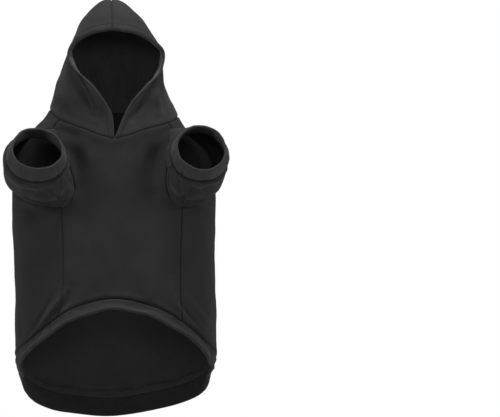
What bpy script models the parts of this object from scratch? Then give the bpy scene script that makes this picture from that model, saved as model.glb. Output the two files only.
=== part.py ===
"""A dog hoodie in fleece knit, filled as if worn and standing upright with its hood up.

Metres, +Z up towards the hood, belly side towards -Y. The origin is the middle of the neck opening, where the
hood is sewn to the body. Each sewn piece is one closed wall of cloth. Every piece is worked out from the same
few surfaces (body, hood, sleeves), so seams meet when a size changes.
"""

import math

import bmesh
import bpy
import numpy as np

# Body
CHEST_WIDTH = 0.2690
CHEST_DEPTH = 0.1400
NECK_WIDTH = 0.1700
NECK_DEPTH = 0.1240
FRONT_DROP = 0.2330  # neck centre down to the band seam on the belly
SIDE_DROP = 0.3120
BACK_DROP = 0.3655
NECK_FRONT_DIP = 0.0200  # the neck seam sinks to a V on the belly side
NECK_SIDE_RISE = 0.0145
NECK_BACK_RISE = 0.0140
NECK_TILT = 0.0048  # the neck seam stands this much higher on the left side, and lower on the right
NECK_UNEVEN = 0.060  # how much narrower the shoulder is on the right side, as a share
HEM_SKEW = 0.0080  # the back of the hem hangs lower on the left side by up to this, and higher on the right
HEM_LEFT_SAG = 0.0045  # the hem sags by this at the belly's left corner
HEM_SAG_ANGLE = -43.0
HEM_SAG_SPREAD = 17.0

# Cloth
CLOTH = 0.0022
DOUBLED_CLOTH = 0.0036
SEAM_GAP = 0.0003

# Hem band and cuffs
BAND_WIDTH = 0.0270
CUFF_LENGTH = 0.0220
CUFF_MOUTH_WIDTH = 0.0715
CUFF_SEAM_WIDTH = 0.0795

# Armholes and sleeves
ARMHOLE_HEIGHT = 0.1020
ARMHOLE_DROP = 0.0580  # neck centre down to the middle of the armhole
SLEEVE_REACH = 0.1060  # the middle of the cuff mouth stands this far in front of the body's middle
SLEEVE_DROP = 0.0335
SLEEVE_FULLNESS = 0.0075
SLACK_TURN = 235.0  # where round a sleeve it is less full: low on its outer side

# Hood
HOOD_HEIGHT = 0.1650
HOOD_DEPTH = 0.1560
HOOD_WIDTH = 0.1690
HOOD_HEM = 0.0100
HOOD_HEM_CLOTH = 0.0042
HOOD_LEAN = -0.0040  # sideways drift of the crown

# Where the neck seam runs: shares of the front, side and back heights, by angle from the belly (degrees).
NECK_LINE = [
    dict(angle=0, front=1.00, side=0.00, back=0.00),
    dict(angle=9, front=0.87, side=0.13, back=0.00),
    dict(angle=23, front=0.62, side=0.38, back=0.00),
    dict(angle=54, front=0.30, side=0.70, back=0.00),
    dict(angle=75, front=0.08, side=0.92, back=0.00),
    dict(angle=90, front=0.00, side=1.00, back=0.00),
    dict(angle=110, front=0.00, side=1.00, back=0.00),
    dict(angle=130, front=0.00, side=0.80, back=0.20),
    dict(angle=150, front=0.00, side=0.40, back=0.60),
    dict(angle=180, front=0.00, side=0.00, back=1.00),
    dict(angle=210, front=0.00, side=0.40, back=0.60),
]

# Where the band seam runs, in the same way.
HEM_LINE = [
    dict(angle=-20, front=0.87, side=0.13, back=0.00),
    dict(angle=0, front=1.00, side=0.00, back=0.00),
    dict(angle=20, front=0.87, side=0.13, back=0.00),
    dict(angle=40, front=0.59, side=0.41, back=0.00),
    dict(angle=60, front=0.28, side=0.72, back=0.00),
    dict(angle=75, front=0.14, side=0.86, back=0.00),
    dict(angle=90, front=0.00, side=1.00, back=0.00),
    dict(angle=110, front=0.00, side=0.67, back=0.33),
    dict(angle=130, front=0.00, side=0.36, back=0.64),
    dict(angle=150, front=0.00, side=0.16, back=0.84),
    dict(angle=180, front=0.00, side=0.00, back=1.00),
    dict(angle=210, front=0.00, side=0.16, back=0.84),
]

# Body sections: height as a share of BACK_DROP, then how far each has grown from the neck size to the chest size,
# how much of NECK_UNEVEN it has, and how far it drifts to the right as a share of CHEST_WIDTH.
BODY_SECTIONS = [
    dict(height=0.080, width=-0.06, depth=-0.10, square=0.015, uneven=1.00, drift=0.000),
    dict(height=0.055, width=0.00, depth=0.00, square=0.015, uneven=1.00, drift=0.000),
    dict(height=0.022, width=0.11, depth=0.10, square=0.015, uneven=0.90, drift=-0.002),
    dict(height=-0.014, width=0.31, depth=0.22, square=0.015, uneven=0.40, drift=-0.014),
    dict(height=-0.055, width=0.60, depth=0.40, square=0.020, uneven=0.20, drift=-0.010),
    dict(height=-0.095, width=0.83, depth=0.62, square=0.025, uneven=0.10, drift=-0.004),
    dict(height=-0.136, width=0.95, depth=0.80, square=0.030, uneven=0.00, drift=0.000),
    dict(height=-0.190, width=1.00, depth=0.95, square=0.030, uneven=0.00, drift=0.000),
    dict(height=-0.270, width=1.00, depth=1.02, square=0.030, uneven=0.00, drift=0.001),
    dict(height=-0.450, width=0.99, depth=1.00, square=0.030, uneven=0.00, drift=0.002),
    dict(height=-0.620, width=0.98, depth=0.94, square=0.030, uneven=0.00, drift=0.004),
    dict(height=-0.800, width=0.975, depth=0.92, square=0.025, uneven=0.00, drift=0.007),
    dict(height=-0.920, width=0.945, depth=0.91, square=0.020, uneven=0.00, drift=0.008),
    dict(height=-1.060, width=0.900, depth=0.90, square=0.015, uneven=0.00, drift=0.008),
]

# The seam between chest and back, below the armhole: share of the way down, angle on each side.
LONG_SEAM = [
    dict(down=0.00, left=29.0, right=38.5),
    dict(down=0.33, left=27.7, right=37.5),
    dict(down=0.66, left=27.7, right=37.0),
    dict(down=0.90, left=29.5, right=37.5),
    dict(down=1.00, left=31.0, right=39.0),
]
ARMHOLE_TOP_ANGLE = 50.0
ARMHOLE_FRONT_SWEEP = 15.0
ARMHOLE_REAR_SWEEP = 48.0

# Sleeves: shares of half the chest width, of SLEEVE_DROP and of the cuff widths, the way each cuff points, and how much
# of its fullness it lacks at SLACK_TURN.
SLEEVES = {
    "left": dict(side_share=0.760, drop_share=1.00, size_share=1.00, turn=-6.0, lift=38.5, slack=0.45),
    "right": dict(side_share=0.858, drop_share=0.98, size_share=0.96, turn=8.0, lift=27.0, slack=0.90),
}

# Lean of the band away from straight down, by angle from the belly, and how much it leans to the front (the rest
# leans straight out from the body).
BAND_FLARE = [
    dict(angle=0, lean=60.0, forward=1.00),
    dict(angle=30, lean=60.0, forward=1.00),
    dict(angle=52, lean=61.0, forward=1.00),
    dict(angle=62, lean=52.0, forward=1.00),
    dict(angle=70, lean=24.0, forward=0.90),
    dict(angle=77, lean=-8.0, forward=0.30),
    dict(angle=84, lean=-18.0, forward=0.05),
    dict(angle=92, lean=-19.0, forward=0.00),
    dict(angle=105, lean=-13.0, forward=0.00),
    dict(angle=125, lean=-7.0, forward=0.00),
    dict(angle=150, lean=-8.0, forward=0.00),
    dict(angle=180, lean=-6.0, forward=0.00),
]

# Rows across the band: share of its width, share of the full lean, share of the cloth thickness.
BAND_ROWS = [
    dict(across=0.00, lean=0.35, thick=0.72),
    dict(across=0.07, lean=0.50, thick=1.00),
    dict(across=0.30, lean=0.90, thick=1.06),
    dict(across=0.65, lean=1.10, thick=1.06),
    dict(across=0.92, lean=1.15, thick=1.00),
    dict(across=1.00, lean=1.15, thick=0.45),
]

# Rows along a cuff: share of its length, share of the way from the seam width to the mouth width, thickness share.
CUFF_ROWS = [
    dict(along=0.00, taper=0.00, thick=0.72),
    dict(along=0.08, taper=-0.05, thick=1.00),
    dict(along=0.50, taper=0.42, thick=1.05),
    dict(along=0.90, taper=0.95, thick=1.00),
    dict(along=1.00, taper=1.00, thick=0.45),
]

# Hood sections: height as a share of HOOD_HEIGHT, then shares of HOOD_WIDTH (each side) and of HOOD_DEPTH,
# and the sideways (front to back) shift of the middle as a share of HOOD_DEPTH.
HOOD_SECTIONS = [
    dict(height=-0.12, left=0.530, right=0.510, depth=0.410, shift=0.000),
    dict(height=0.00, left=0.520, right=0.480, depth=0.400, shift=0.000),
    dict(height=0.12, left=0.502, right=0.448, depth=0.395, shift=0.000),
    dict(height=0.23, left=0.470, right=0.412, depth=0.423, shift=-0.006),
    dict(height=0.35, left=0.434, right=0.388, depth=0.452, shift=-0.012),
    dict(height=0.47, left=0.402, right=0.390, depth=0.468, shift=-0.018),
    dict(height=0.59, left=0.374, right=0.400, depth=0.487, shift=-0.022),
    dict(height=0.72, left=0.352, right=0.364, depth=0.500, shift=-0.018),
    dict(height=0.84, left=0.335, right=0.330, depth=0.500, shift=-0.010),
    dict(height=0.92, left=0.296, right=0.290, depth=0.500, shift=0.000),
    dict(height=1.00, left=0.262, right=0.258, depth=0.500, shift=0.000),
]
HOOD_ROUND_START = 0.115  # the crown starts to close over from this share of HOOD_HEIGHT
HOOD_CROWN_POWER = 3.0
HOOD_SECTION_POWER = 2.4
HOOD_HEART = 0.36  # the hood is star shaped about this share of its height
HOOD_CORNER = 0.91  # the back seam turns into the top seam at this height

# The face opening, from the V at the neck to the forehead: place along it, sideways shares of HOOD_WIDTH,
# height as a share of HOOD_HEIGHT, and how far the hem stands out sideways as a share of HOOD_WIDTH.
FACE_EDGE = [
    dict(along=0.00, left=0.000, right=0.000, height=-0.121, flare=0.000),
    dict(along=0.14, left=0.012, right=0.065, height=0.045, flare=0.000),
    dict(along=0.28, left=0.062, right=0.130, height=0.165, flare=0.000),
    dict(along=0.42, left=0.150, right=0.245, height=0.305, flare=0.006),
    dict(along=0.56, left=0.255, right=0.335, height=0.430, flare=0.026),
    dict(along=0.70, left=0.300, right=0.345, height=0.545, flare=0.044),
    dict(along=0.83, left=0.262, right=0.285, height=0.650, flare=0.034),
    dict(along=0.92, left=0.140, right=0.162, height=0.727, flare=0.010),
    dict(along=1.00, left=0.000, right=0.000, height=0.752, flare=0.000),
]

# Folds of the hood, seen from the front: three points as sideways shares of HOOD_WIDTH and height shares of
# HOOD_HEIGHT, then width and height of the fold as shares of HOOD_HEM (negative is a valley).
HOOD_FOLDS = [
    dict(name="left valley", xs=(-0.31, -0.235, -0.14), zs=(0.40, 0.23, 0.05), width=0.55, rise=-0.32),
    dict(name="left roll", xs=(-0.41, -0.36, -0.27), zs=(0.34, 0.18, 0.04), width=0.90, rise=0.22),
    dict(name="right ridge", xs=(0.33, 0.315, 0.33), zs=(0.33, 0.20, 0.08), width=0.65, rise=0.30),
    dict(name="right valley", xs=(0.24, 0.19, 0.13), zs=(0.24, 0.14, 0.04), width=0.60, rise=-0.28),
]

# Folds of the body's belly side: points as shares of CHEST_WIDTH and of BACK_DROP (down is negative), width and
# height of the fold as shares of BAND_WIDTH.
BODY_FOLDS = [
    dict(name="left hem gather", xs=(-0.270, -0.335, -0.415), zs=(-0.615, -0.690, -0.785), width=0.30, rise=0.10),
    dict(name="left hem hollow", xs=(-0.220, -0.245, -0.330), zs=(-0.600, -0.675, -0.760), width=0.26, rise=-0.07),
    dict(name="right hem gather", xs=(0.290, 0.310, 0.330), zs=(-0.605, -0.660, -0.700), width=0.26, rise=0.09),
    dict(name="right hem fold", xs=(0.340, 0.410, 0.470), zs=(-0.680, -0.745, -0.800), width=0.28, rise=0.09),
    dict(name="left arm fold", xs=(-0.470, -0.400, -0.310), zs=(-0.306, -0.330, -0.308), width=0.30, rise=-0.09),
    dict(name="right arm fold", xs=(0.335, 0.400, 0.480), zs=(-0.277, -0.302, -0.332), width=0.30, rise=-0.09),
    dict(name="left chest crease", xs=(-0.215, -0.195, -0.190), zs=(-0.040, -0.130, -0.230), width=0.60, rise=-0.12),
    dict(name="right chest crease", xs=(0.235, 0.205, 0.210), zs=(-0.030, -0.130, -0.240), width=0.60, rise=-0.12),
    dict(name="neck pucker left", xs=(-0.110, -0.100, -0.085), zs=(-0.035, -0.085, -0.150), width=0.35, rise=-0.05),
    dict(name="neck pucker right", xs=(0.110, 0.105, 0.085), zs=(-0.035, -0.090, -0.160), width=0.35, rise=-0.05),
]

# How finely each piece is divided.
ARMHOLE_STEPS = 10
SHOULDER_STEPS = 2
FLANK_STEPS = 12
CHEST_HALF_COLUMNS = 7
BACK_HALF_COLUMNS = 13
HOOD_ROWS = 15
HOOD_COLUMNS = CHEST_HALF_COLUMNS + BACK_HALF_COLUMNS
SLEEVE_STEPS = 6

CLOTH_LOOKS = {
    "back_panel": (0.022, 0.022, 0.023),
    "chest_panel": (0.022, 0.022, 0.023),
    "hood_left": (0.025, 0.025, 0.026),
    "hood_right": (0.025, 0.025, 0.026),
    "sleeve_left": (0.022, 0.022, 0.023),
    "sleeve_right": (0.022, 0.022, 0.023),
    "cuff_left": (0.027, 0.027, 0.028),
    "cuff_right": (0.027, 0.027, 0.028),
    "hem_band": (0.027, 0.027, 0.028),
}


def column(table, name):
    return np.array([row[name] for row in table], dtype=float)


def smooth(table, key, name, at):
    """Reads a named column at any place with a curve that passes through every row and never overshoots."""
    xs = column(table, key)
    ys = column(table, name)
    if xs[0] > xs[-1]:
        xs = xs[::-1]
        ys = ys[::-1]
    steps = np.diff(xs)
    slopes = np.diff(ys) / steps
    tangents = np.zeros_like(ys)
    same_way = slopes[1:] * slopes[:-1] > 0
    weight = 2.0 * slopes[1:] * slopes[:-1]
    total = np.where(same_way, slopes[1:] + slopes[:-1], 1.0)
    tangents[1:-1] = np.where(same_way, weight / total, 0.0)
    tangents[0] = slopes[0]
    tangents[-1] = slopes[-1]
    at = np.clip(np.asarray(at, dtype=float), xs[0], xs[-1])
    cell = np.clip(np.searchsorted(xs, at, side="right") - 1, 0, len(steps) - 1)
    t = (at - xs[cell]) / steps[cell]
    start = (2 * t**3 - 3 * t**2 + 1) * ys[cell] + (t**3 - 2 * t**2 + t) * steps[cell] * tangents[cell]
    end = (3 * t**2 - 2 * t**3) * ys[cell + 1] + (t**3 - t**2) * steps[cell] * tangents[cell + 1]
    return start + end


def unit(vectors):
    lengths = np.linalg.norm(vectors, axis=-1, keepdims=True)
    return vectors / np.maximum(lengths, 1e-12)


def fold_heights(folds, points, width_unit, height_unit, fold_unit):
    """Height of all folds at each point, from its distance to each fold's line as seen from the front."""
    total = np.zeros(points.shape[:-1])
    facing = np.clip(-points[..., 1] / (0.10 * CHEST_DEPTH), 0.0, 1.0)
    for fold in folds:
        xs = np.array(fold["xs"]) * width_unit
        zs = np.array(fold["zs"]) * height_unit
        nearest = np.full(points.shape[:-1], 1e9)
        place = np.zeros(points.shape[:-1])
        for k in range(2):
            leg_x = xs[k + 1] - xs[k]
            leg_z = zs[k + 1] - zs[k]
            along = (points[..., 0] - xs[k]) * leg_x + (points[..., 2] - zs[k]) * leg_z
            t = along / (leg_x**2 + leg_z**2)
            held = np.clip(t, 0.0, 1.0)
            away_x = points[..., 0] - xs[k] - held * leg_x
            away_z = points[..., 2] - zs[k] - held * leg_z
            distance = np.hypot(away_x, away_z)
            closer = distance < nearest
            place = np.where(closer, (k + held) / 2.0, place)
            nearest = np.where(closer, distance, nearest)
        fade = 0.35 + 0.65 * np.sin(math.pi * np.clip(place, 0.0, 1.0)) ** 2
        spread = fold["width"] * fold_unit
        total += fold["rise"] * fold_unit * fade * np.exp(-((nearest / spread) ** 2))
    return total * facing


def neck_height(angle):
    """Height of the neck seam at an angle from the belly, in degrees, a little higher on the left side."""
    a = np.abs(angle)
    front = smooth(NECK_LINE, "angle", "front", a) * -NECK_FRONT_DIP
    side = smooth(NECK_LINE, "angle", "side", a) * NECK_SIDE_RISE
    back = smooth(NECK_LINE, "angle", "back", a) * NECK_BACK_RISE
    tilt = smooth(NECK_LINE, "angle", "side", a) * NECK_TILT * np.sin(np.radians(angle))
    return front + side + back - tilt


def hem_height(angle):
    a = np.abs(angle)
    front = smooth(HEM_LINE, "angle", "front", a) * FRONT_DROP
    side = smooth(HEM_LINE, "angle", "side", a) * SIDE_DROP
    back = smooth(HEM_LINE, "angle", "back", a) * BACK_DROP
    skew = smooth(HEM_LINE, "angle", "back", a) * HEM_SKEW * np.sin(np.radians(angle))
    sag = HEM_LEFT_SAG * np.exp(-(((angle - HEM_SAG_ANGLE) / HEM_SAG_SPREAD) ** 2))
    return skew - front - side - back - sag


def body_skin(angle, height):
    """The smooth body, before folds. Angle 0 is the belly, 90 the right side, -90 the left, 180 the back."""
    turn = np.radians(angle)
    level = np.asarray(height, dtype=float) / BACK_DROP
    grown_wide = smooth(BODY_SECTIONS, "height", "width", level)
    grown_deep = smooth(BODY_SECTIONS, "height", "depth", level)
    square = smooth(BODY_SECTIONS, "height", "square", level)
    half_width = (NECK_WIDTH + (CHEST_WIDTH - NECK_WIDTH) * grown_wide) / 2.0
    half_depth = (NECK_DEPTH + (CHEST_DEPTH - NECK_DEPTH) * grown_deep) / 2.0
    uneven = smooth(BODY_SECTIONS, "height", "uneven", level) * NECK_UNEVEN
    drift = smooth(BODY_SECTIONS, "height", "drift", level) * CHEST_WIDTH
    x = half_width * (np.sin(turn) + square * np.sin(3 * turn)) / (1 - square)
    x = x * (1.0 - uneven * np.clip(np.sin(turn), 0.0, None)) + drift * np.sin(turn) ** 2
    y = -half_depth * (np.cos(turn) - square * np.cos(3 * turn)) / (1 - square)
    return np.stack([x, y, height + 0.0 * turn], axis=-1)


def body_normal(angle, height):
    angle, height = np.broadcast_arrays(angle, height)
    across = body_skin(angle + 0.2, height) - body_skin(angle - 0.2, height)
    upward = body_skin(angle, height + 0.0005) - body_skin(angle, height - 0.0005)
    return unit(np.cross(across, upward))


def body_surface(angle, height):
    """Middle of the body's cloth with its folds, and the direction that faces out."""
    angle, height = np.broadcast_arrays(angle, height)
    points = body_skin(angle, height)
    outward = body_normal(angle, height)
    below_neck = neck_height(angle) - height
    above_hem = height - hem_height(angle)
    calm = np.clip(below_neck / 0.012, 0.0, 1.0) * np.clip(above_hem / 0.008, 0.0, 1.0)
    lift = fold_heights(BODY_FOLDS, points, CHEST_WIDTH, BACK_DROP, BAND_WIDTH) * calm
    return points + outward * lift[..., None], outward


def angle_for(distance, angle, height):
    """Turns a short distance round the body into degrees there."""
    step = body_skin(angle + 0.5, height) - body_skin(angle - 0.5, height)
    return distance / np.linalg.norm(step, axis=-1)


def armhole(side, turn, edge):
    """Angle and height on the armhole's edge. Turn 0 is its top and 180 its bottom, edge 'front' or 'rear'."""
    low_angle = LONG_SEAM[0][side]
    height = -ARMHOLE_DROP + ARMHOLE_HEIGHT / 2.0 * np.cos(np.radians(turn))
    share = (1.0 - np.cos(np.radians(turn))) / 2.0
    middle = ARMHOLE_TOP_ANGLE + (low_angle - ARMHOLE_TOP_ANGLE) * share
    sweep = -ARMHOLE_FRONT_SWEEP if edge == "front" else ARMHOLE_REAR_SWEEP
    return middle + sweep * np.sin(np.radians(turn)), height


def panel_edge(side, edge):
    """The chest's or back's long edge from neck to hem: angles and heights row by row, and where it is a seam."""
    sign = -1.0 if side == "left" else 1.0
    top_angle, top_height = armhole(side, 0.0, edge)
    low_angle, low_height = armhole(side, 180.0, edge)
    start_height = neck_height(sign * ARMHOLE_TOP_ANGLE)
    angles = [ARMHOLE_TOP_ANGLE] * SHOULDER_STEPS
    heights = [start_height + (top_height - start_height) * k / SHOULDER_STEPS for k in range(SHOULDER_STEPS)]
    for k in range(ARMHOLE_STEPS + 1):
        angle, height = armhole(side, 180.0 * k / ARMHOLE_STEPS, edge)
        angles.append(float(angle))
        heights.append(float(height))
    end_height = float(hem_height(sign * LONG_SEAM[-1][side]))
    for k in range(1, FLANK_STEPS + 1):
        down = k / FLANK_STEPS
        angles.append(float(smooth(LONG_SEAM, "down", side, down)))
        heights.append(low_height + (end_height - low_height) * down)
    angles = np.array(angles)
    heights = np.array(heights)
    rows = np.arange(len(angles))
    sewn = (rows <= SHOULDER_STEPS) | (rows >= SHOULDER_STEPS + ARMHOLE_STEPS)
    return angles, heights, sewn


def level_share(angle, height):
    """How far a point is down the body, as a share of the way from the neck seam to the hem seam there."""
    return (neck_height(angle) - height) / (neck_height(angle) - hem_height(angle))


def hem_lip_places():
    """The folded hem's lines behind the hood's face edge: its rounded lip, and either side of where it ends."""
    lip = CLOTH * 0.6
    return np.array([0.0, lip, HOOD_HEM - lip, HOOD_HEM + lip])


def neck_angles():
    """Angles of the neck seam's points on one side, which the hood and the body share."""
    hem = hem_lip_places() * angle_for(1.0, np.array(3.0), neck_height(3.0))
    chest = np.linspace(hem[-1], ARMHOLE_TOP_ANGLE, CHEST_HALF_COLUMNS - 2)
    back = np.linspace(ARMHOLE_TOP_ANGLE, 180.0, BACK_HALF_COLUMNS + 1)
    return np.concatenate([hem[:-1], chest, back[1:]])


def hem_angles():
    """Angles of the band seam's points all the way round, which the band and the body share."""
    low = LONG_SEAM[-1]
    chest = np.linspace(-low["left"], low["right"], 2 * CHEST_HALF_COLUMNS + 1)
    back = np.linspace(low["right"], 360.0 - low["left"], 2 * BACK_HALF_COLUMNS + 1)
    angles = np.concatenate([chest, back[1:-1]])
    return np.where(angles > 180.0, angles - 360.0, angles)


def body_panel(edge):
    """Angles and heights of a body panel's grid, between its left and right long edges."""
    sign = -1.0 if edge == "front" else 1.0
    ends = {}
    for side in ("left", "right"):
        angles, heights, sewn = panel_edge(side, edge)
        hand = -1.0 if side == "left" else 1.0
        gap = angle_for(SEAM_GAP / 2.0, angles, heights)
        shares = level_share(hand * angles, heights)
        ends[side] = (angles + sign * np.where(sewn, gap, 0.0), shares)
    left_angles, left_shares = ends["left"]
    right_angles, right_shares = ends["right"]
    if edge == "front":
        at_neck = neck_angles()[: CHEST_HALF_COLUMNS + 1] / ARMHOLE_TOP_ANGLE
        evenly = np.linspace(0.0, 1.0, CHEST_HALF_COLUMNS + 1)
        settled = np.clip(np.arange(len(left_angles)) / 6.0, 0.0, 1.0)[:, None]
        half = at_neck + (evenly - at_neck) * settled
        across = np.concatenate([(1.0 - half[:, :0:-1]) / 2.0, (1.0 + half) / 2.0], axis=1)
    else:
        across = np.linspace(0.0, 1.0, 2 * BACK_HALF_COLUMNS + 1)[None, :]
    if edge == "front":
        start = -left_angles[:, None]
        finish = right_angles[:, None]
        start_shares = left_shares[:, None]
        finish_shares = right_shares[:, None]
    else:
        start = right_angles[:, None]
        finish = 360.0 - left_angles[:, None]
        start_shares = right_shares[:, None]
        finish_shares = left_shares[:, None]
    angles = start + (finish - start) * across
    signed = np.where(angles > 180.0, angles - 360.0, angles)
    shares = start_shares + (finish_shares - start_shares) * across
    heights = neck_height(signed) + (hem_height(signed) - neck_height(signed)) * shares
    return signed, heights


def band_direction(angle, lean_share):
    """Which way the band's cloth runs at an angle: straight down, leaned forwards or outwards by the table."""
    a = np.abs(angle)
    lean = np.radians(smooth(BAND_FLARE, "angle", "lean", a) * lean_share)[..., None]
    forward = smooth(BAND_FLARE, "angle", "forward", a)[..., None]
    outward = body_normal(angle, hem_height(angle)) * np.array([1.0, 1.0, 0.0])
    out = unit(forward * np.array([0.0, -1.0, 0.0]) + (1.0 - forward) * unit(outward))
    return np.cos(lean) * np.array([0.0, 0.0, -1.0]) + np.sin(lean) * out


def band_normal(angle, lean_share):
    """Which way the band's outer face looks at an angle."""
    after = body_skin(angle + 0.5, hem_height(angle + 0.5))
    before = body_skin(angle - 0.5, hem_height(angle - 0.5))
    return unit(np.cross(band_direction(angle, lean_share), after - before))


def hem_mitre(angle):
    """The direction across the cloth that body and band share at their seam."""
    return unit(body_normal(angle, hem_height(angle)) + band_normal(angle, BAND_ROWS[0]["lean"]))


def hood_level(height):
    return np.asarray(height, dtype=float) / HOOD_HEIGHT


def hood_closing(height):
    """Nought up to where the crown starts to close over, one at its top."""
    start = HOOD_ROUND_START * HOOD_HEIGHT
    rise = np.clip((np.asarray(height) - start) / (HOOD_HEIGHT - start), 0.0, None)
    return rise**HOOD_CROWN_POWER


def hood_value(points, side):
    """Less than one inside the hood's form and more outside; the hood is where it is one."""
    level = hood_level(points[..., 2])
    half_width = smooth(HOOD_SECTIONS, "height", side, level) * HOOD_WIDTH
    half_depth = smooth(HOOD_SECTIONS, "height", "depth", level) * HOOD_DEPTH
    middle = smooth(HOOD_SECTIONS, "height", "shift", level) * HOOD_DEPTH
    wide = (np.abs(points[..., 0]) / half_width) ** HOOD_SECTION_POWER
    deep = (np.abs(points[..., 1] - middle) / half_depth) ** HOOD_SECTION_POWER
    return wide + deep + hood_closing(points[..., 2])


def hood_project(points, side):
    """Moves points along the line from the hood's heart until they lie on its form."""
    heart = np.array([0.0, 0.0, HOOD_HEART * HOOD_HEIGHT])
    ray = points - heart
    low = np.full(points.shape[:-1], 0.2)
    high = np.full(points.shape[:-1], 4.0)
    for _ in range(40):
        half = (low + high) / 2.0
        inside = hood_value(heart + ray * half[..., None], side) < 1.0
        low = np.where(inside, half, low)
        high = np.where(inside, high, half)
    return heart + ray * ((low + high) / 2.0)[..., None]


def hood_normal(points, side):
    step = 0.0004
    parts = []
    for axis in range(3):
        shift = np.zeros(3)
        shift[axis] = step
        parts.append(hood_value(points + shift, side) - hood_value(points - shift, side))
    return unit(np.stack(parts, axis=-1))


def hood_front(side_place, height, side):
    """The point of the hood's front at a sideways place and height."""
    level = hood_level(height)
    half_width = smooth(HOOD_SECTIONS, "height", side, level) * HOOD_WIDTH
    half_depth = smooth(HOOD_SECTIONS, "height", "depth", level) * HOOD_DEPTH
    middle = smooth(HOOD_SECTIONS, "height", "shift", level) * HOOD_DEPTH
    left_over = 1.0 - hood_closing(height) - (np.abs(side_place) / half_width) ** HOOD_SECTION_POWER
    y = middle - half_depth * np.clip(left_over, 0.0, None) ** (1.0 / HOOD_SECTION_POWER)
    return np.stack([side_place, y, height], axis=-1)


def neck_point(angle):
    return body_skin(angle, neck_height(angle))


def neck_mitre(angle):
    """The direction across the cloth that hood and body share at the neck seam."""
    flip = np.array([-1.0, 1.0, 1.0])
    place = neck_point(angle)
    right = hood_normal(place, "right")
    left = hood_normal(place * flip, "left") * flip
    hood = np.where((angle >= 0.0)[:, None], right, left)
    return unit(hood + body_normal(angle, neck_height(angle)))


def hood_seam_point(turn):
    """A point of the middle seam: turn 0 is the forehead, 1 the back of the neck, over the crown."""
    forehead = hood_front(np.array(0.0), np.array(FACE_EDGE[-1]["height"] * HOOD_HEIGHT), "right")
    nape = neck_point(np.array(180.0))
    heart = np.array([0.0, 0.0, HOOD_HEART * HOOD_HEIGHT])
    first = math.atan2(forehead[1], forehead[2] - heart[2])
    last = math.atan2(nape[1], nape[2] - heart[2])
    swing = first + (last - first) * np.asarray(turn, dtype=float)
    ray = np.stack([0.0 * swing, np.sin(swing), np.cos(swing)], axis=-1) * HOOD_HEIGHT / 2.0
    return hood_project(heart + ray, "right")


def corner_turn():
    """Where along the middle seam the back seam turns into the top seam."""
    turns = np.linspace(0.35, 1.0, 200)
    heights = hood_seam_point(turns)[:, 2]
    return float(turns[np.argmin(np.abs(heights - HOOD_CORNER * HOOD_HEIGHT))])


def hood_grid(side, rows, columns):
    """One half of the hood on a grid: rows climb from the neck, columns run from the face edge to the back."""
    climb = np.linspace(0.0, 1.0, rows + 1)
    corner = corner_turn()
    edge_x = smooth(FACE_EDGE, "along", side, climb) * HOOD_WIDTH
    edge_z = smooth(FACE_EDGE, "along", "height", climb) * HOOD_HEIGHT
    face = hood_front(edge_x, edge_z, side)
    spine = hood_seam_point(1.0 + (corner - 1.0) * climb)
    length_guess = np.linalg.norm(face - spine, axis=-1) * 1.25
    hem = hem_lip_places()[None, :] / length_guess[:, None]
    rest = np.linspace(0.0, 1.0, columns - 2)[None, 1:]
    u = np.concatenate([hem, hem[:, -1:] + (1.0 - hem[:, -1:]) * rest], axis=1)
    u[0] = neck_angles() / 180.0
    v = climb[:, None] + 0.0 * u
    sign = -1.0 if side == "left" else 1.0
    bottom = neck_point(180.0 * sign * u) * np.array([sign, 1.0, 1.0])
    top = hood_seam_point(corner * u)
    left_edge = np.broadcast_to(face[:, None, :], bottom.shape)
    right_edge = np.broadcast_to(spine[:, None, :], bottom.shape)
    uu = u[..., None]
    vv = v[..., None]
    corners = (1 - uu) * (1 - vv) * face[0] + uu * (1 - vv) * spine[0]
    corners = corners + (1 - uu) * vv * face[-1] + uu * vv * spine[-1]
    patch = (1 - uu) * left_edge + uu * right_edge + (1 - vv) * bottom + vv * top - corners
    patch[..., 0] = np.abs(patch[..., 0])
    points = hood_project(patch, side)
    miss = bottom - hood_project(bottom, side)
    settle = np.clip(1.0 - v / 0.35, 0.0, 1.0) ** 2
    points = points + miss * settle[..., None]
    outward = hood_normal(points, side)
    return points, outward, u, v, length_guess


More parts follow.
